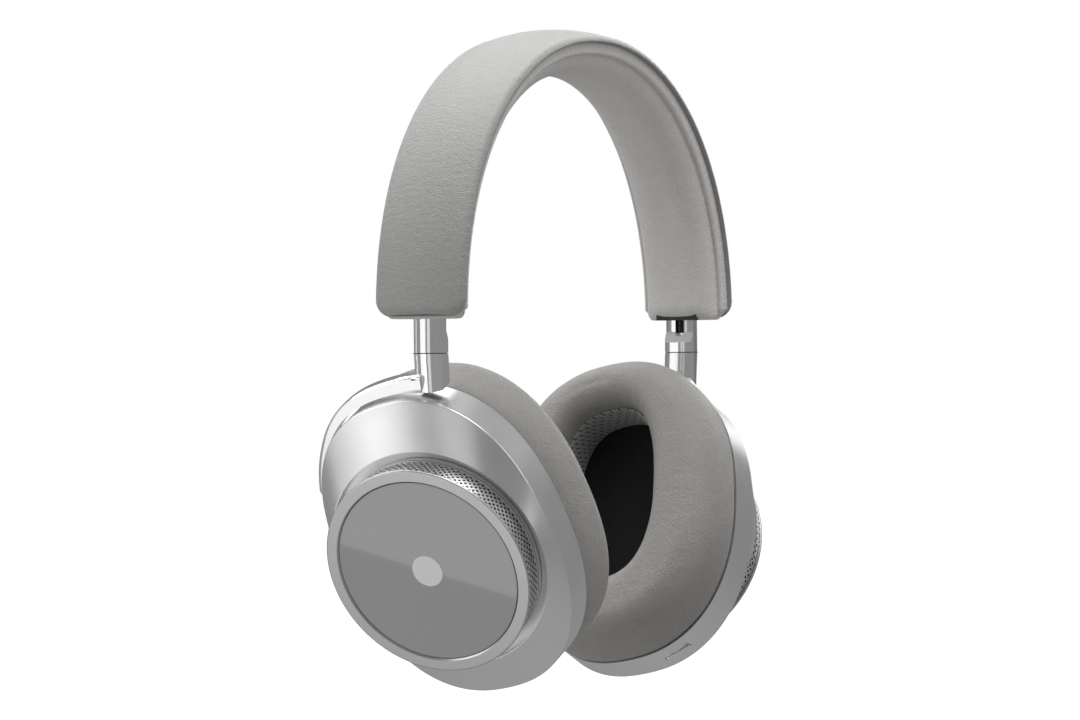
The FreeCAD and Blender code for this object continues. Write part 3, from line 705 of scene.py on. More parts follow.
class HEADPHONES_OT_headband_pad(bpy.types.Operator):
    """Builds the padded inner leather of the headband"""
    bl_idname = "headphones.headband_pad"
    bl_label = "Headband pad"

    def execute(self, context):
        sizes = context.scene.headphone_sizes
        arch = ArchLine()
        edge = 0.9 * MM
        end_roll = 4.5 * MM

        def end_of(y):
            return max(0.0, abs(y) - (pad_half_width - sizes.pad_chamfer))

        def height(y, s):
            end = min(s, arch.total - s) - end_of(y)
            d = min(max(min(end, pad_half_width - abs(y)), 0.0), edge)
            roll = math.sqrt(max(edge ** 2 - (edge - d) ** 2, 0.0)) - edge
            ripple = noise.noise(Vector((y * 220, s * 70, 0.0))) * 0.06 * MM
            full = pad_height(sizes, y)
            flat = min(full, sizes.pad_flange)
            near = max(0.0, 1 - min(s, arch.total - s) / end_roll)
            return flat + (full - flat) * math.sqrt(1 - 0.7 * near ** 2) + roll + ripple

        border = [pad_half_width - edge * share for share in eased(4)]
        row = sizes.stitch_row
        flat = [row + 0.55 * MM, row + 0.25 * MM, row, row - 0.15 * MM, row - 0.35 * MM, row - 0.65 * MM,
                row - 1.1 * MM, row - 1.7 * MM, row - 2.5 * MM, row - 3.5 * MM]
        inner = row - 4.6 * MM
        middle = [inner - inner * i / 7 for i in range(8)]
        half = border + flat + middle
        columns = [-y for y in half[:-1]] + list(reversed(half))
        piece = band_solid("headband_pad_leather", arch, columns, end_of, edge, 200, height, -0.1 * MM, True)
        subdivide(piece)
        material = leather("pad_leather", context.scene.headphone_colours.pad, "UV", 1700.0,
                           (320.0, 480.0, 1.0), 0.00007, 0.5)
        finish_piece(piece, "headband", material, ["headband_pad", "headband_foam"])
        return {"FINISHED"}


# ---- Geometry Nodes for what repeats ----
class Growth:
    """A geometry node tree with short ways to add and join nodes."""

    def __init__(self, name):
        self.tree = bpy.data.node_groups.new(name, "GeometryNodeTree")
        self.tree.interface.new_socket("Geometry", in_out="INPUT", socket_type="NodeSocketGeometry")
        self.sockets = {}

    def input(self, name, kind, value):
        socket = self.tree.interface.new_socket(name, in_out="INPUT", socket_type="NodeSocket" + kind)
        if value is not None:
            socket.default_value = value
        self.sockets[name] = (socket.identifier, value)

    def begin(self):
        self.tree.interface.new_socket("Geometry", in_out="OUTPUT", socket_type="NodeSocketGeometry")
        self.inputs = self.tree.nodes.new("NodeGroupInput")
        self.output = self.tree.nodes.new("NodeGroupOutput")
        return self.inputs.outputs

    def add(self, kind, **settings):
        node = self.tree.nodes.new(kind)
        for key, value in settings.items():
            setattr(node, key, value)
        return node

    def join(self, output, target):
        self.tree.links.new(output, target)

    def math(self, operation, a, b=0.0):
        node = self.add("ShaderNodeMath", operation=operation)
        for value, target in ((a, node.inputs[0]), (b, node.inputs[1])):
            if isinstance(value, (int, float)):
                target.default_value = value
            else:
                self.join(value, target)
        return node.outputs[0]

    def end(self, geometry):
        """Realises the instances and sets the material."""
        realise = self.add("GeometryNodeRealizeInstances")
        paint = self.add("GeometryNodeSetMaterial")
        self.join(geometry, realise.inputs["Geometry"])
        self.join(realise.outputs["Geometry"], paint.inputs["Geometry"])
        self.join(self.inputs.outputs["Material"], paint.inputs["Material"])
        self.join(paint.outputs["Geometry"], self.output.inputs["Geometry"])

    def attach(self, piece, material):
        """Puts the tree on a piece, with its inputs set."""
        modifier = piece.modifiers.new("Growth", "NODES")
        modifier.node_group = self.tree
        for name, (identifier, value) in self.sockets.items():
            modifier[identifier] = material if name == "Material" else value

    def grow(self, piece, material):
        """Runs the tree on a piece and keeps the result as its plain mesh."""
        self.attach(piece, material)
        return apply_modifiers(piece)


def stitch_tree(pitch, stitch_length, radius):
    """Stitches along a curve: one small stretched bead for each step of the curve."""
    growth = Growth("Stitches")
    growth.input("Pitch", "Float", pitch)
    growth.input("Stitch length", "Float", stitch_length)
    growth.input("Thread radius", "Float", radius)
    growth.input("Material", "Material", None)
    given = growth.begin()
    steps = growth.add("GeometryNodeResampleCurve", mode="LENGTH")
    growth.join(given["Geometry"], steps.inputs["Curve"])
    growth.join(given["Pitch"], steps.inputs["Length"])
    bead = growth.add("GeometryNodeMeshUVSphere")
    bead.inputs["Segments"].default_value = 8
    bead.inputs["Rings"].default_value = 6
    bead.inputs["Radius"].default_value = 1.0
    size = growth.add("ShaderNodeCombineXYZ")
    growth.join(given["Thread radius"], size.inputs["X"])
    growth.join(given["Thread radius"], size.inputs["Y"])
    growth.join(growth.math("MULTIPLY", given["Stitch length"], 0.5), size.inputs["Z"])
    along = growth.add("GeometryNodeInputTangent")
    turn = growth.add("FunctionNodeAlignRotationToVector", axis="Z")
    growth.join(along.outputs["Tangent"], turn.inputs["Vector"])
    smooth = growth.add("GeometryNodeSetShadeSmooth")
    growth.join(bead.outputs["Mesh"], smooth.inputs["Geometry"])
    places = growth.add("GeometryNodeInstanceOnPoints")
    growth.join(steps.outputs["Curve"], places.inputs["Points"])
    growth.join(smooth.outputs["Geometry"], places.inputs["Instance"])
    growth.join(turn.outputs["Rotation"], places.inputs["Rotation"])
    growth.join(size.outputs["Vector"], places.inputs["Scale"])
    growth.end(places.outputs["Instances"])
    return growth


def curve_piece(name, points):
    curve = bpy.data.curves.new(name, "CURVE")
    curve.dimensions = "3D"
    line = curve.splines.new("POLY")
    line.points.add(len(points) - 1)
    for point, place in zip(line.points, points):
        point.co = (*place, 1.0)
    return new_object(name, curve)


def grown_on_curve(growth, name, points, material):
    """Runs a tree on a line of points and gives the result as a mesh piece."""
    line = curve_piece(name + "_line", points)
    growth.attach(line, material)
    graph = bpy.context.evaluated_depsgraph_get()
    mesh = bpy.data.meshes.new_from_object(line.evaluated_get(graph))
    bpy.data.objects.remove(line)
    return new_object(name, mesh)


class HEADPHONES_OT_headband_stitches(bpy.types.Operator):
    """Sews the two rows of stitches beside the padded middle of the headband"""
    bl_idname = "headphones.headband_stitches"
    bl_label = "Headband stitches"

    def execute(self, context):
        sizes, colours = context.scene.headphone_sizes, context.scene.headphone_colours
        arch = ArchLine()
        inset = 2.2 * MM
        rows = (("front", -sizes.stitch_row, thread("light_thread", colours.light_thread)),
                ("rear", sizes.stitch_row, thread("dark_thread", colours.dark_thread)))
        for name, across, material in rows:
            run = arch.total - 2 * inset
            depth = pad_height(sizes, across) - 0.05 * MM
            points = [arch.place(inset + run * i / 400, across, -depth) for i in range(401)]
            growth = stitch_tree(sizes.stitch_pitch, sizes.stitch_length, sizes.stitch_radius)
            piece = grown_on_curve(growth, "headband_stitches_" + name, points, material)
            finish_piece(piece, "headband", material)
        return {"FINISHED"}


# ---- Ear cushions ----
def cushion_section(width, bulge, sizes):
    """Closed outline of the cushion, as pairs of distance from its outer wall and depth."""
    outer, inner = sizes.cushion_outer_round, sizes.cushion_inner_round
    base = cushion_base + 0.25 * MM
    floor = cloth_high + 0.3 * MM
    rim = lining_high
    points = [(1.9 * MM, base), (0.75 * MM, base), (0.3 * MM, base + 0.5 * MM), (0.05 * MM, base + 1.3 * MM)]
    wall = cushion_face - outer
    points += [(-0.6 * bulge, base + 3.4 * MM), (-bulge, (base + wall) / 2 + 1.5 * MM)]
    for i in range(9):
        turn = math.pi / 2 * i / 8
        points.append((outer - outer * math.cos(turn) - bulge * (1 - i / 8) ** 2,
                       wall + outer * math.sin(turn)))
    for i in range(7):
        turn = math.pi / 2 * i / 6
        points.append((width - inner + inner * math.sin(turn), cushion_face - inner + inner * math.cos(turn)))
    points += [(width, rim), (width + 0.2 * MM, rim - 1.0 * MM), (width, (rim + floor) / 2), (width, floor)]
    points += [(width * 0.75, base), (width * 0.45, base)]
    return points


def simulate_padding(piece, pinned, limit):
    """Swells a closed piece like stuffed leather, held at its pinned points, and caps how far it moves."""
    rest = [vertex.co.copy() for vertex in piece.data.vertices]
    group = piece.vertex_groups.new(name="Held")
    group.add(pinned, 1.0, "REPLACE")
    cloth = piece.modifiers.new("Padding", "CLOTH")
    cloth.settings.quality = 6
    cloth.settings.mass = 0.25
    cloth.settings.tension_stiffness = cloth.settings.compression_stiffness = 25.0
    cloth.settings.bending_stiffness = 2.0
    cloth.settings.vertex_group_mass = group.name
    cloth.settings.use_pressure = True
    cloth.settings.uniform_pressure_force = 4.0
    cloth.settings.effector_weights.gravity = 0.0
    cloth.point_cache.frame_start, cloth.point_cache.frame_end = 1, 20
    for step in range(1, 21):
        bpy.context.scene.frame_set(step)
    apply_modifiers(piece)
    bpy.context.scene.frame_set(1)
    for vertex, start in zip(piece.data.vertices, rest):
        move = vertex.co - start
        if move.length > limit:
            vertex.co = start + move.normalized() * limit


class HEADPHONES_OT_ear_cushions(bpy.types.Operator):
    """Builds the two padded leather ear cushions"""
    bl_idname = "headphones.ear_cushions"
    bl_label = "Ear cushions"

    AROUND = 144

    def execute(self, context):
        sizes = context.scene.headphone_sizes
        points, flat_map = [], []
        count = 0
        for i in range(self.AROUND):
            angle = 2 * math.pi * i / self.AROUND
            outer, facing = superellipse(cushion_half_width, cushion_half_height, OVAL_POWER, angle)
            inner, _ = superellipse(opening_half_width, opening_half_height, OPENING_POWER, angle)
            across = inner + OPENING_SHIFT - outer
            section = cushion_section(across.length, sizes.cushion_bulge * facing.x ** 2, sizes)
            count = len(section)
            run = 0.0
            for j, (distance, depth) in enumerate(section):
                flat = outer + across.normalized() * distance
                points.append(cup_point(flat + Vector((0, oval_lift)), depth))
                if j:
                    run += math.dist(section[j], section[j - 1])
                flat_map.append((angle * 0.035, run))
        faces = grid_faces(self.AROUND, count, True, True)
        glued = (0, 1, 2, count - 4, count - 3, count - 2, count - 1)
        held = [i * count + j for i in range(self.AROUND) for j in glued]
        material = leather("cushion_leather", context.scene.headphone_colours.cushion, "Object", 1500.0,
                           (330.0, 330.0, 420.0), 0.00009, 0.5)
        for side in SIDES:
            piece = mesh_piece("ear_cushion_leather_" + side, points, faces, flat_map, side)
            point_outward(piece)
            simulate_padding(piece, held, 1.1 * MM)
            subdivide(piece)
            self.crease(piece)
            finish_piece(piece, "ear_cup_" + side, material, ["ear_cushion_" + side])
        return {"FINISHED"}

    def crease(self, piece):
        """Presses faint soft creases into the leather."""
        places = [vertex.co.copy() for vertex in piece.data.vertices]
        normals = [vertex.normal.copy() for vertex in piece.data.vertices]
        for vertex, place, normal in zip(piece.data.vertices, places, normals):
            even = Vector((abs(place.x), place.y, place.z))
            fold = noise.noise(even * 240) * 0.04 + noise.noise(even * 80) * 0.12
            vertex.co = place + normal * fold * MM


class HEADPHONES_OT_cushion_linings(bpy.types.Operator):
    """Builds the knitted lining inside each ear cushion's opening"""
    bl_idname = "headphones.cushion_linings"
    bl_label = "Cushion linings"

    AROUND = 160

    def execute(self, context):
        low, high = lining_low, lining_high
        wall = 1.1 * MM
        section = [(-0.1 * MM, low), (0.0, high - 0.4 * MM), (0.25 * MM, high), (0.6 * MM, high + 0.15 * MM),
                   (wall - 0.15 * MM, high - 0.1 * MM), (wall + 0.1 * MM, high - 1.0 * MM),
                   (wall + 0.35 * MM, high - 3.0 * MM), (wall + 0.45 * MM, (low + high) / 2),
                   (wall + 0.3 * MM, low + 2.0 * MM), (wall, low + 0.3 * MM), (wall, low)]
        points, flat_map = [], []
        for i in range(self.AROUND + 1):
            angle = 2 * math.pi * i / self.AROUND
            for inset, depth in section:
                points.append(oval_at(opening_half_width, opening_half_height, OPENING_POWER,
                                      angle, -inset, depth, OPENING_SHIFT))
                flat_map.append((angle * 0.026, depth))
        faces = grid_faces(self.AROUND + 1, len(section), False, True)
        material = knitted("knitted_mesh", context.scene.headphone_colours.lining)
        for side in SIDES:
            piece = mesh_piece("cushion_lining_knit_" + side, points, faces, flat_map, side)
            join_doubles(piece)
            subdivide(piece)
            finish_piece(piece, "ear_cup_" + side, material, ["cushion_lining_" + side])
        return {"FINISHED"}


class HEADPHONES_OT_speaker_covers(bpy.types.Operator):
    """Stretches the black cloth over each speaker"""
    bl_idname = "headphones.speaker_covers"
    bl_label = "Speaker covers"

    AROUND = 96

    def execute(self, context):
        half_width, half_height, _ = oval_span("speaker_cover_right")
        high = cloth_high
        rings = (0.02, 0.15, 0.3, 0.45, 0.6, 0.75, 0.88, 0.97, 1.0)
        thickness = 0.5 * MM
        points = []
        for top in (0, 1):
            for share in rings:
                sag = 1.0 * MM * math.cos(share * math.pi / 2)
                depth = high - 0.2 * MM - sag - (0 if top else thickness)
                for i in range(self.AROUND):
                    angle = 2 * math.pi * i / self.AROUND
                    point, _ = superellipse(half_width * share, half_height * share, OVAL_POWER, angle)
                    points.append(cup_point(point + Vector((0, oval_lift)), depth))
        count = len(rings) * self.AROUND
        faces = [tuple(reversed(face)) for face in grid_faces(len(rings), self.AROUND, False, True)]
        faces += [tuple(i + count for i in reversed(face)) for face in faces]
        last = count - self.AROUND
        for i in range(self.AROUND):
            j = (i + 1) % self.AROUND
            faces.append((last + i, last + j, last + j + count, last + i + count))
        faces += [tuple(range(self.AROUND)), tuple(count + i for i in reversed(range(self.AROUND)))]
        material = fine_cloth("speaker_cloth", context.scene.headphone_colours.speaker_cloth)
        for side in SIDES:
            piece = mesh_piece("speaker_cloth_" + side, points, faces, None, side)
            point_outward(piece)
            finish_piece(piece, "ear_cup_" + side, material, ["speaker_cover_" + side])
        return {"FINISHED"}


# ---- Perforated rings ----
def ring_tile(pitch, spacing, hole, thickness):
    """One closed plate with a round hole, standing in the YZ plane, its outer face towards +X."""
    w, h = pitch / 2, spacing / 2
    outline = [(w, 0), (w, h), (w / 3, h), (-w / 3, h), (-w, h), (-w, 0), (-w, -h), (-w / 3, -h),
               (w / 3, -h), (w, -h)]
    hole_angles = (0, 36, 72, 108, 144, 180, 216, 252, 288, 324)
    inner = [(hole * math.cos(math.radians(a)), hole * math.sin(math.radians(a))) for a in hole_angles]
    count = len(outline)
    points = []
    for x in (0.0, -thickness):
        points += [(x, y, z) for y, z in outline] + [(x, y, z) for y, z in inner]
    faces = []
    for i in range(count):
        j = (i + 1) % count
        back = 2 * count
        faces.append((i, j, count + j, count + i))
        faces.append((count + i, count + j, count + j + back, count + i + back))
        faces.append((i + back, count + i + back, count + j + back, j + back))
        faces.append((j, i, i + back, j + back))
    mesh = bpy.data.meshes.new("ring_tile")
    mesh.from_pydata(points, [], faces)
    return new_object("ring_tile", mesh)


def ring_tree(radius, rows, per_row, spacing, first):
    """Staggered rows of the tile round the Z axis."""
    growth = Growth("Perforated ring")
    growth.input("Radius", "Float", radius)
    growth.input("Rows", "Int", rows)
    growth.input("Holes per row", "Int", per_row)
    growth.input("Row spacing", "Float", spacing)
    growth.input("First row", "Float", first)
    growth.input("Material", "Material", None)
    given = growth.begin()
    line = growth.add("GeometryNodeMeshLine")
    growth.join(growth.math("MULTIPLY", given["Rows"], given["Holes per row"]), line.inputs["Count"])
    index = growth.add("GeometryNodeInputIndex").outputs["Index"]
    row = growth.math("FLOOR", growth.math("DIVIDE", growth.math("ADD", index, 0.5), given["Holes per row"]))
    column = growth.math("SUBTRACT", index, growth.math("MULTIPLY", row, given["Holes per row"]))
    stagger = growth.math("MULTIPLY", row, 0.5)
    turn = growth.math("DIVIDE", growth.math("ADD", column, stagger), given["Holes per row"])
    angle = growth.math("MULTIPLY", turn, 2 * math.pi)
    place = growth.add("ShaderNodeCombineXYZ")
    growth.join(growth.math("MULTIPLY", growth.math("COSINE", angle), given["Radius"]), place.inputs["X"])
    growth.join(growth.math("MULTIPLY", growth.math("SINE", angle), given["Radius"]), place.inputs["Y"])
    height = growth.math("ADD", growth.math("MULTIPLY", row, given["Row spacing"]), given["First row"])
    growth.join(height, place.inputs["Z"])
    moved = growth.add("GeometryNodeSetPosition")
    growth.join(line.outputs["Mesh"], moved.inputs["Geometry"])
    growth.join(place.outputs["Vector"], moved.inputs["Position"])
    facing = growth.add("ShaderNodeCombineXYZ")
    growth.join(angle, facing.inputs["Z"])
    places = growth.add("GeometryNodeInstanceOnPoints")
    growth.join(moved.outputs["Geometry"], places.inputs["Points"])
    growth.join(given["Geometry"], places.inputs["Instance"])
    growth.join(facing.outputs["Vector"], places.inputs["Rotation"])
    growth.end(places.outputs["Instances"])
    return growth


def add_band(mesh, radius, thickness, low, high, around=192):
    """Adds a plain closed hoop to a mesh that stands round the Z axis."""
    edit = bmesh.new()
    edit.from_mesh(mesh)
    loops = []
    for r, z in ((radius, low), (radius, high), (radius - thickness, high), (radius - thickness, low)):
        loops.append([edit.verts.new((r * math.cos(2 * math.pi * i / around),
                                      r * math.sin(2 * math.pi * i / around), z)) for i in range(around)])
    for k in range(4):
        for i in range(around):
            j = (i + 1) % around
            a, b = loops[k], loops[(k + 1) % 4]
            face = edit.faces.new((a[i], a[j], b[j], b[i]))
            face.smooth = k in (0, 2)
    edit.to_mesh(mesh)
    edit.free()


class HEADPHONES_OT_perforated_rings(bpy.types.Operator):
    """Rolls the two perforated metal rings round the caps"""
    bl_idname = "headphones.perforated_rings"
    bl_label = "Perforated rings"

    def execute(self, context):
        sizes = context.scene.headphone_sizes
        low, high = sizes.bezel_edge, depth_span("perforated_ring_right")[1]
        radius = radius_of("perforated_ring_right")
        thickness = 0.35 * MM
        pitch = 2 * math.pi * radius / sizes.holes_per_row
        first = low + sizes.hole_first_row
        material = satin_metal("grille_metal", context.scene.headphone_colours.grille_metal, 0.36)
        tile = ring_tile(pitch * 1.0005, sizes.hole_row_spacing, sizes.hole_radius, thickness)
        growth = ring_tree(radius, sizes.hole_rows, sizes.holes_per_row, sizes.hole_row_spacing, first)
        growth.grow(tile, material)
        mesh = tile.data
        half = sizes.hole_row_spacing / 2
        last = first + (sizes.hole_rows - 1) * sizes.hole_row_spacing
        add_band(mesh, radius, thickness, low, first - half)
        add_band(mesh, radius, thickness, last + half, high)
        frame_of_cup = Matrix((
            (cup_rear.x, cup_up.x, cup_in.x, cup_centre.x),
            (cup_rear.y, cup_up.y, cup_in.y, cup_centre.y),
            (cup_rear.z, cup_up.z, cup_in.z, cup_centre.z),
            (0, 0, 0, 1)))
        mesh.transform(frame_of_cup)
        bpy.data.objects.remove(tile)
        for side in SIDES:
            own = mesh.copy()
            if side == "left":
                own.transform(Matrix.Scale(-1, 4, Vector((1, 0, 0))))
                own.flip_normals()
            piece = new_object("perforated_ring_metal_" + side, own)
            finish_piece(piece, "ear_cup_" + side, material, ["perforated_ring_" + side])
        bpy.data.meshes.remove(mesh)
        return {"FINISHED"}


# ---- Metal, glass and hidden pieces that keep the frame's shape ----
class HEADPHONES_OT_cup_shells(bpy.types.Operator):
    """Finishes the anodised cup shells"""
    bl_idname = "headphones.cup_shells"
    bl_label = "Cup shells"

    def execute(self, context):
        satin = satin_metal("satin_aluminium", context.scene.headphone_colours.satin_metal, 0.3)
        for side in SIDES:
            finish_node("cup_shell_" + side, satin)
        return {"FINISHED"}


class HEADPHONES_OT_caps(bpy.types.Operator):
    """Turns the bezels, glass discs and round badges of the caps"""
    bl_idname = "headphones.caps"
    bl_label = "Caps"

    def execute(self, context):
        colours = context.scene.headphone_colours
        bezel = satin_metal("bezel_aluminium", colours.bezel_metal, 0.34)
        glass = glass_disc("cap_glass", colours.cap_glass)
        badge = moulded("badge_metal", tuple(colours.badge)[:3], 0.4, 0.2)
        disc_radius = radius_of("cap_disc_right")
        bezel_radius = radius_of("cap_bezel_right")
        bezel_back = context.scene.headphone_sizes.bezel_edge
        disc_back = depth_span("cap_disc_right")[1]
        badge_radius = radius_of("cap_badge_right")
        sunk, edge = 0.45 * MM, 0.5 * MM
        wall = disc_radius + 0.15 * MM
        flat_end = bezel_radius - edge
        ring = [(wall, bezel_back), (wall, sunk + 0.15 * MM), (wall + 0.45 * MM, 0.0),
                (wall + 0.5 * MM, 0.0), (flat_end - 0.05 * MM, 0.0)]
        ring += quarter(flat_end, edge, edge, 0)
        ring += [(bezel_radius, bezel_back - 0.3 * MM), (bezel_radius - 0.3 * MM, bezel_back)]
        plate = [(0.0, disc_back), (0.0, sunk), (disc_radius - 0.15 * MM, sunk),
                 (disc_radius, sunk + 0.15 * MM), (disc_radius, disc_back)]
        top = sunk - 0.14 * MM
        mark = [(0.0, sunk + 0.2 * MM), (0.0, top), (badge_radius - 0.16 * MM, top)]
        mark += quarter(badge_radius - 0.12 * MM, top + 0.12 * MM, 0.12 * MM, 0, 4)
        mark += [(badge_radius, sunk + 0.2 * MM)]
        for side in SIDES:
            body = "ear_cup_" + side
            finish_piece(lathe("cap_bezel_metal_" + side, ring, side), body, bezel,
                         ["cap_bezel_" + side])
            finish_piece(lathe("cap_glass_" + side, plate, side), body, glass,
                         ["cap_disc_" + side])
            finish_piece(lathe("cap_badge_metal_" + side, mark, side, 64), body, badge,
                         ["cap_badge_" + side])
        return {"FINISHED"}


class HEADPHONES_OT_stems_and_yokes(bpy.types.Operator):
    """Finishes the polished stems and yokes, with gently crowned faces, and their pins"""
    bl_idname = "headphones.stems_and_yokes"
    bl_label = "Stems and yokes"

    def execute(self, context):
        colours = context.scene.headphone_colours
        bright = satin_metal("polished_aluminium", colours.bright_metal, 0.13, 0.03, 0.000002)
        steel = moulded("pin_steel", (0.5, 0.5, 0.5), 0.3, 1.0)
        rubber = moulded("black_rubber", (0.012, 0.012, 0.012), 0.5)
        brass = moulded("bush_brass", (0.62, 0.45, 0.2), 0.35, 1.0)
        stem_low, stem_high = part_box("upper_stem_right")
        half_width = (stem_high.y - stem_low.y) / 2
        bend = math.tan(math.radians(34))

        def crown(place, normal):
            if abs(place.y) > half_width + 0.05 * MM:
                return normal
            across = max(-1.0, min(1.0, place.y / half_width))
            broad = eased_between(abs(normal.x), 0.92, 0.99)
            outward = (abs(place.x) + stem_high.x) / (stem_high.x - stem_low.x)
            narrow = eased_between(-normal.y, 0.92, 0.99) * max(0.0, min(1.0, outward))
            tilt = Vector((math.copysign(narrow, place.x) * 0.8, broad * across * bend, 0.0))
            return (normal + tilt).normalized()

        for side in SIDES:
            stem = crowned_copy("upper_stem_" + side, "polished_stem_" + side, crown)
            finish_piece(stem, "slider_" + side, bright, ["upper_stem_" + side])
            yoke = crowned_copy("yoke_" + side, "polished_yoke_" + side, crown)
            finish_piece(yoke, "yoke_" + side, bright, ["yoke_" + side])
            self.washer(side, rubber, stem_low, stem_high)
            finish_node("stem_wire_" + side, rubber)
            finish_node("swivel_pin_" + side, steel)
            finish_node("tilt_pin_" + side, steel)
            finish_node("tilt_bush_" + side, brass)
        return {"FINISHED"}

    def washer(self, side, material, low, high):
        """A thin dark washer in the seam where the yoke turns under the stem."""
        gap = low.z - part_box("yoke_right")[1].z
        inset = 0.15 * MM
        half_x, half_y = (high.x - low.x) / 2 - inset, (high.y - low.y) / 2 - inset
        middle_x = (low.x + high.x) / 2
        top, bottom = low.z - gap * 0.06, low.z - gap * 0.94
        points = []
        around = 64
        for depth in (top, bottom):
            for i in range(around):
                flat, _ = superellipse(half_x, half_y, 9.0, 2 * math.pi * i / around)
                points.append(Vector((middle_x + flat.x, flat.y, depth)))
        faces = [(i, (i + 1) % around, around + (i + 1) % around, around + i) for i in range(around)]
        faces += [tuple(reversed(range(around))), tuple(range(around, 2 * around))]
        piece = mesh_piece("swivel_washer_" + side, points, faces, None, side)
        point_outward(piece)
        sharpen(piece, 40)
        finish_piece(piece, "slider_" + side, material)


class HEADPHONES_OT_buttons(bpy.types.Operator):
    """Finishes the buttons and the charging socket"""
    bl_idname = "headphones.buttons"
    bl_label = "Buttons and socket"

    def execute(self, context):
        satin = satin_metal("button_aluminium", context.scene.headphone_colours.satin_metal, 0.27)
        steel = moulded("socket_steel", (0.45, 0.45, 0.46), 0.3, 1.0)
        for node in ("noise_button", "volume_up_button", "play_button", "volume_down_button"):
            finish_node(node, satin)
        finish_node("charging_socket", steel)
        return {"FINISHED"}


class HEADPHONES_OT_hidden_pieces(bpy.types.Operator):
    """Finishes the pieces inside the headband and the cups"""
    bl_idname = "headphones.hidden_pieces"
    bl_label = "Hidden pieces"

    def execute(self, context):
        plastic = moulded("black_plastic", (0.014, 0.014, 0.014), 0.5)
        steel = moulded("spring_steel", (0.42, 0.42, 0.43), 0.32, 1.0)
        magnet = moulded("magnet_steel", (0.35, 0.35, 0.36), 0.4, 1.0)
        foil = moulded("diaphragm_foil", (0.6, 0.6, 0.62), 0.25, 1.0)
        board = moulded("board_green", (0.02, 0.12, 0.05), 0.4)
        battery = moulded("battery_foil", (0.6, 0.61, 0.63), 0.3, 0.6)
        for node in ("headband_stiffener", "circuit_board", "battery_cell", "headband_spring"):
            finish_node(node, {"circuit_board": board, "battery_cell": battery,
                               "headband_spring": steel}.get(node, plastic))
        for side in SIDES:
            for node in ("slider_guide", "cap_tray", "baffle_plate", "driver_frame", "cushion_ring"):
                finish_node(f"{node}_{side}", plastic)
            for node in ("detent_spring", "baffle_screws"):
                finish_node(f"{node}_{side}", steel)
            finish_node("driver_magnet_" + side, magnet)
            finish_node("driver_diaphragm_" + side, foil)
        return {"FINISHED"}


# ---- Stage, lights and camera ----
VIEW_AZIMUTH = math.radians(209.45)     # the camera's direction from the headphones, about Z
VIEW_HEIGHT = math.radians(-0.13)
VIEW_ROLL = math.radians(-0.6)
VIEW_TARGET = Vector((-3.2, 5.8, -90.4)) * MM
VIEW_DISTANCE = 1.939
VIEW_LENS = 202.94

VIEW_BACK = Vector((math.cos(VIEW_AZIMUTH) * math.cos(VIEW_HEIGHT),
                    math.sin(VIEW_AZIMUTH) * math.cos(VIEW_HEIGHT), math.sin(VIEW_HEIGHT)))
level_right = Vector((0, 0, 1)).cross(VIEW_BACK).normalized()
VIEW_RIGHT = level_right * math.cos(VIEW_ROLL) + VIEW_BACK.cross(level_right) * math.sin(VIEW_ROLL)
VIEW_UP = VIEW_BACK.cross(VIEW_RIGHT)


def studio_panel(name, centre, aim, up, width, height, radiance, shape="RECTANGLE"):
    """A soft light panel that lights the object and shows in its gloss, but not in the picture itself."""
    light = bpy.data.lights.new(name, "AREA")
    light.shape = shape
    light.size = width
    if shape == "RECTANGLE":
        light.size_y = height
    area = width * height if shape == "RECTANGLE" else math.pi * width * width / 4
    light.energy = radiance * area * math.pi
    lamp = new_object(name, light)
    back = (centre - aim).normalized()
    side = up.cross(back).normalized()
    turn = Matrix((side, back.cross(side), back)).transposed().to_4x4()
    lamp.matrix_world = Matrix.Translation(centre) @ turn
    lamp.visible_camera = False
    return lamp


def seen_at(turn, height):
    """A direction at so many degrees round from the camera to its right, and so many up."""
    turn, height = math.radians(turn), math.radians(height)
    level = VIEW_RIGHT * math.sin(turn) + VIEW_BACK * math.cos(turn)
    return level * math.cos(height) + VIEW_UP * math.sin(height)


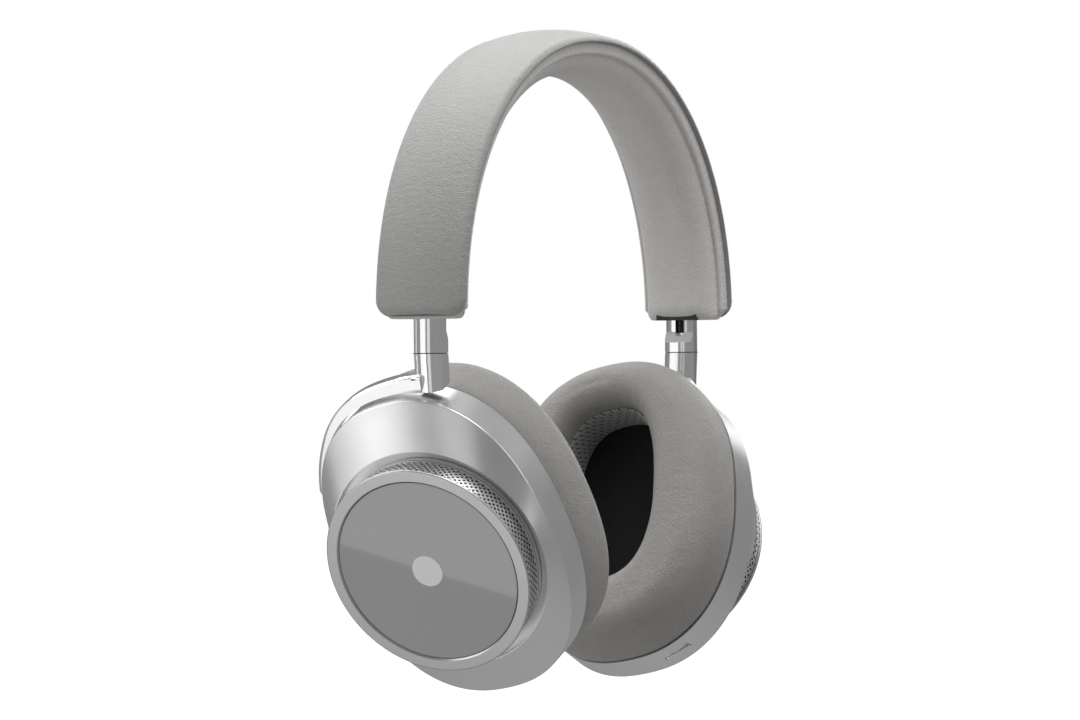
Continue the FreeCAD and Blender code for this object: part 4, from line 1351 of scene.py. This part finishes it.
class HEADPHONES_OT_stage(bpy.types.Operator):
    """Sets up the pale floor, the studio light and the camera"""
    bl_idname = "headphones.stage"
    bl_label = "Stage"

    def execute(self, context):
        scene = context.scene
        scene.view_settings.view_transform = "Standard"
        self.floor()
        self.surroundings(scene)
        self.lights()
        self.camera(scene)
        return {"FINISHED"}

    def floor(self):
        size = 14.0
        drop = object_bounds()[0].z - 0.3
        corners = [(-size, -size, drop), (size, -size, drop), (size, size, drop), (-size, size, drop)]
        piece = mesh_piece("floor", [Vector(c) for c in corners], [(0, 1, 2, 3)])
        shader = Shader("floor_white")
        place = shader.place("Object")
        pale, paler = (0.84, 0.84, 0.84, 1.0), (0.86, 0.86, 0.86, 1.0)
        shader.drive("Base Color", shader.blend(shader.noise(place, 2.0), pale, paler))
        shader.fix(roughness=0.9, emission_color=(1.0, 1.0, 1.0, 1.0), emission_strength=1.0)
        piece.data.materials.append(shader.material)
        piece.visible_diffuse = piece.visible_glossy = False
        piece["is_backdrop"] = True

    def surroundings(self, scene):
        """White behind the object, and a soft grey room for its light and reflections."""
        world = bpy.data.worlds.new("studio")
        world.use_nodes = True
        scene.world = world
        tree = world.node_tree
        room = tree.nodes["Background"]
        coordinates = tree.nodes.new("ShaderNodeTexCoord")
        parts = tree.nodes.new("ShaderNodeSeparateXYZ")
        ramp = tree.nodes.new("ShaderNodeValToRGB")
        tree.links.new(coordinates.outputs["Generated"], parts.inputs["Vector"])
        lift = tree.nodes.new("ShaderNodeMath")
        lift.operation = "MULTIPLY_ADD"
        lift.inputs[1].default_value = lift.inputs[2].default_value = 0.5
        tree.links.new(parts.outputs["Z"], lift.inputs[0])
        tree.links.new(lift.outputs["Value"], ramp.inputs["Fac"])
        stops = ((0.0, 0.4), (0.35, 0.33), (0.5, 0.27), (0.7, 0.25), (1.0, 0.25))
        ramp.color_ramp.elements[0].position = stops[0][0]
        ramp.color_ramp.elements[0].color = (*[stops[0][1]] * 3, 1)
        ramp.color_ramp.elements[1].position = stops[-1][0]
        ramp.color_ramp.elements[1].color = (*[stops[-1][1]] * 3, 1)
        for position, value in stops[1:-1]:
            element = ramp.color_ramp.elements.new(position)
            element.color = (value, value, value, 1)
        tree.links.new(ramp.outputs["Color"], room.inputs["Color"])
        white = tree.nodes.new("ShaderNodeBackground")
        white.inputs["Strength"].default_value = 1.0
        white.inputs["Color"].default_value = (1, 1, 1, 1)
        rays = tree.nodes.new("ShaderNodeLightPath")
        mix = tree.nodes.new("ShaderNodeMixShader")
        tree.links.new(rays.outputs["Is Camera Ray"], mix.inputs[0])
        tree.links.new(room.outputs[0], mix.inputs[1])
        tree.links.new(white.outputs[0], mix.inputs[2])
        tree.links.new(mix.outputs[0], tree.nodes["World Output"].inputs["Surface"])

    # name, degrees round from the camera to its right, degrees up, width and brightness
    SOFTBOXES = (
        ("overhead", 0, 90, 0.8, 6.0),
        ("key", 30, 60, 0.8, 3.5),
        ("rear", -150, 60, 0.8, 4.5),
        ("rear right", 150, 30, 0.8, 3.0),
        ("left", -90, 30, 0.8, 2.2),
        ("right", 75, 30, 0.8, 1.4),
    )
    # name, degrees round from the camera to its right, width and brightness
    STRIPS = (
        ("strip left", -80, 1.15, 0.85),
        ("strip front", -30, 0.5, 0.5),
    )
    LIGHT_DISTANCE = 1.3

    def lights(self):
        """Round softboxes over the object, strips for the polished metal and a card for the glass."""
        for name, turn, height, width, radiance in self.SOFTBOXES:
            centre = VIEW_TARGET + seen_at(turn, height) * self.LIGHT_DISTANCE
            studio_panel(name, centre, VIEW_TARGET, VIEW_BACK + VIEW_RIGHT * 0.1, width, width, radiance,
                         "DISK")
        for name, turn, width, radiance in self.STRIPS:
            centre = VIEW_TARGET + seen_at(turn, 0) * self.LIGHT_DISTANCE
            studio_panel(name, centre, VIEW_TARGET, VIEW_UP, width, 0.5, radiance)
        self.glass_card()

    def glass_card(self):
        """A card whose straight edge crosses the glass disc as a soft line, slightly down to the right."""
        facing = -cup_in
        slope = math.radians(17)
        line = VIEW_RIGHT * math.cos(slope) - VIEW_UP * math.sin(slope)
        above = VIEW_RIGHT * math.sin(slope) + VIEW_UP * math.cos(slope)
        sight = (cup_centre - VIEW_TARGET - VIEW_BACK * VIEW_DISTANCE).normalized()
        seen = [v - 2 * v.dot(facing) * facing for v in (sight, line, above)]
        middle = cup_centre + seen[0] * 0.55
        centre = middle + seen[2] * 0.2
        studio_panel("glass card", centre, centre - seen[0], seen[2], 0.8, 0.4, 0.72)

    def camera(self, scene):
        data = bpy.data.cameras.new("camera")
        data.sensor_width = 36.0
        data.lens = VIEW_LENS
        data.clip_start, data.clip_end = 0.05, 60.0
        camera = new_object("camera", data)
        turn = Matrix((VIEW_RIGHT, VIEW_UP, VIEW_BACK)).transposed().to_4x4()
        camera.matrix_world = Matrix.Translation(VIEW_TARGET + VIEW_BACK * VIEW_DISTANCE) @ turn
        scene.camera = camera


# ---- Sidebar panel and start ----
OPERATORS = (
    HEADPHONES_OT_headband_cover,
    HEADPHONES_OT_headband_pad,
    HEADPHONES_OT_headband_stitches,
    HEADPHONES_OT_ear_cushions,
    HEADPHONES_OT_cushion_linings,
    HEADPHONES_OT_speaker_covers,
    HEADPHONES_OT_perforated_rings,
    HEADPHONES_OT_cup_shells,
    HEADPHONES_OT_caps,
    HEADPHONES_OT_stems_and_yokes,
    HEADPHONES_OT_buttons,
    HEADPHONES_OT_hidden_pieces,
    HEADPHONES_OT_stage,
)


class HEADPHONES_PT_panel(bpy.types.Panel):
    """Lists the headphones' settings and the steps that build them"""
    bl_idname = "HEADPHONES_PT_panel"
    bl_label = "Headphones"
    bl_space_type = "VIEW_3D"
    bl_region_type = "UI"
    bl_category = "Headphones"

    def draw(self, context):
        for group in (context.scene.headphone_sizes, context.scene.headphone_colours):
            box = self.layout.box()
            for name in group.__annotations__:
                box.prop(group, name)
        for operator in OPERATORS:
            self.layout.operator(operator.bl_idname)


CLASSES = (HeadphoneSizes, HeadphoneColours, *OPERATORS, HEADPHONES_PT_panel)


def register():
    for item in CLASSES:
        bpy.utils.register_class(item)
    bpy.types.Scene.headphone_sizes = bpy.props.PointerProperty(type=HeadphoneSizes)
    bpy.types.Scene.headphone_colours = bpy.props.PointerProperty(type=HeadphoneColours)


def unregister():
    del bpy.types.Scene.headphone_sizes
    del bpy.types.Scene.headphone_colours
    for item in reversed(CLASSES):
        bpy.utils.unregister_class(item)


def main():
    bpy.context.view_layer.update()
    register()
    for operator in OPERATORS:
        group, name = operator.bl_idname.split(".")
        getattr(getattr(bpy.ops, group), name)()


if __name__ == "__main__":
    main()
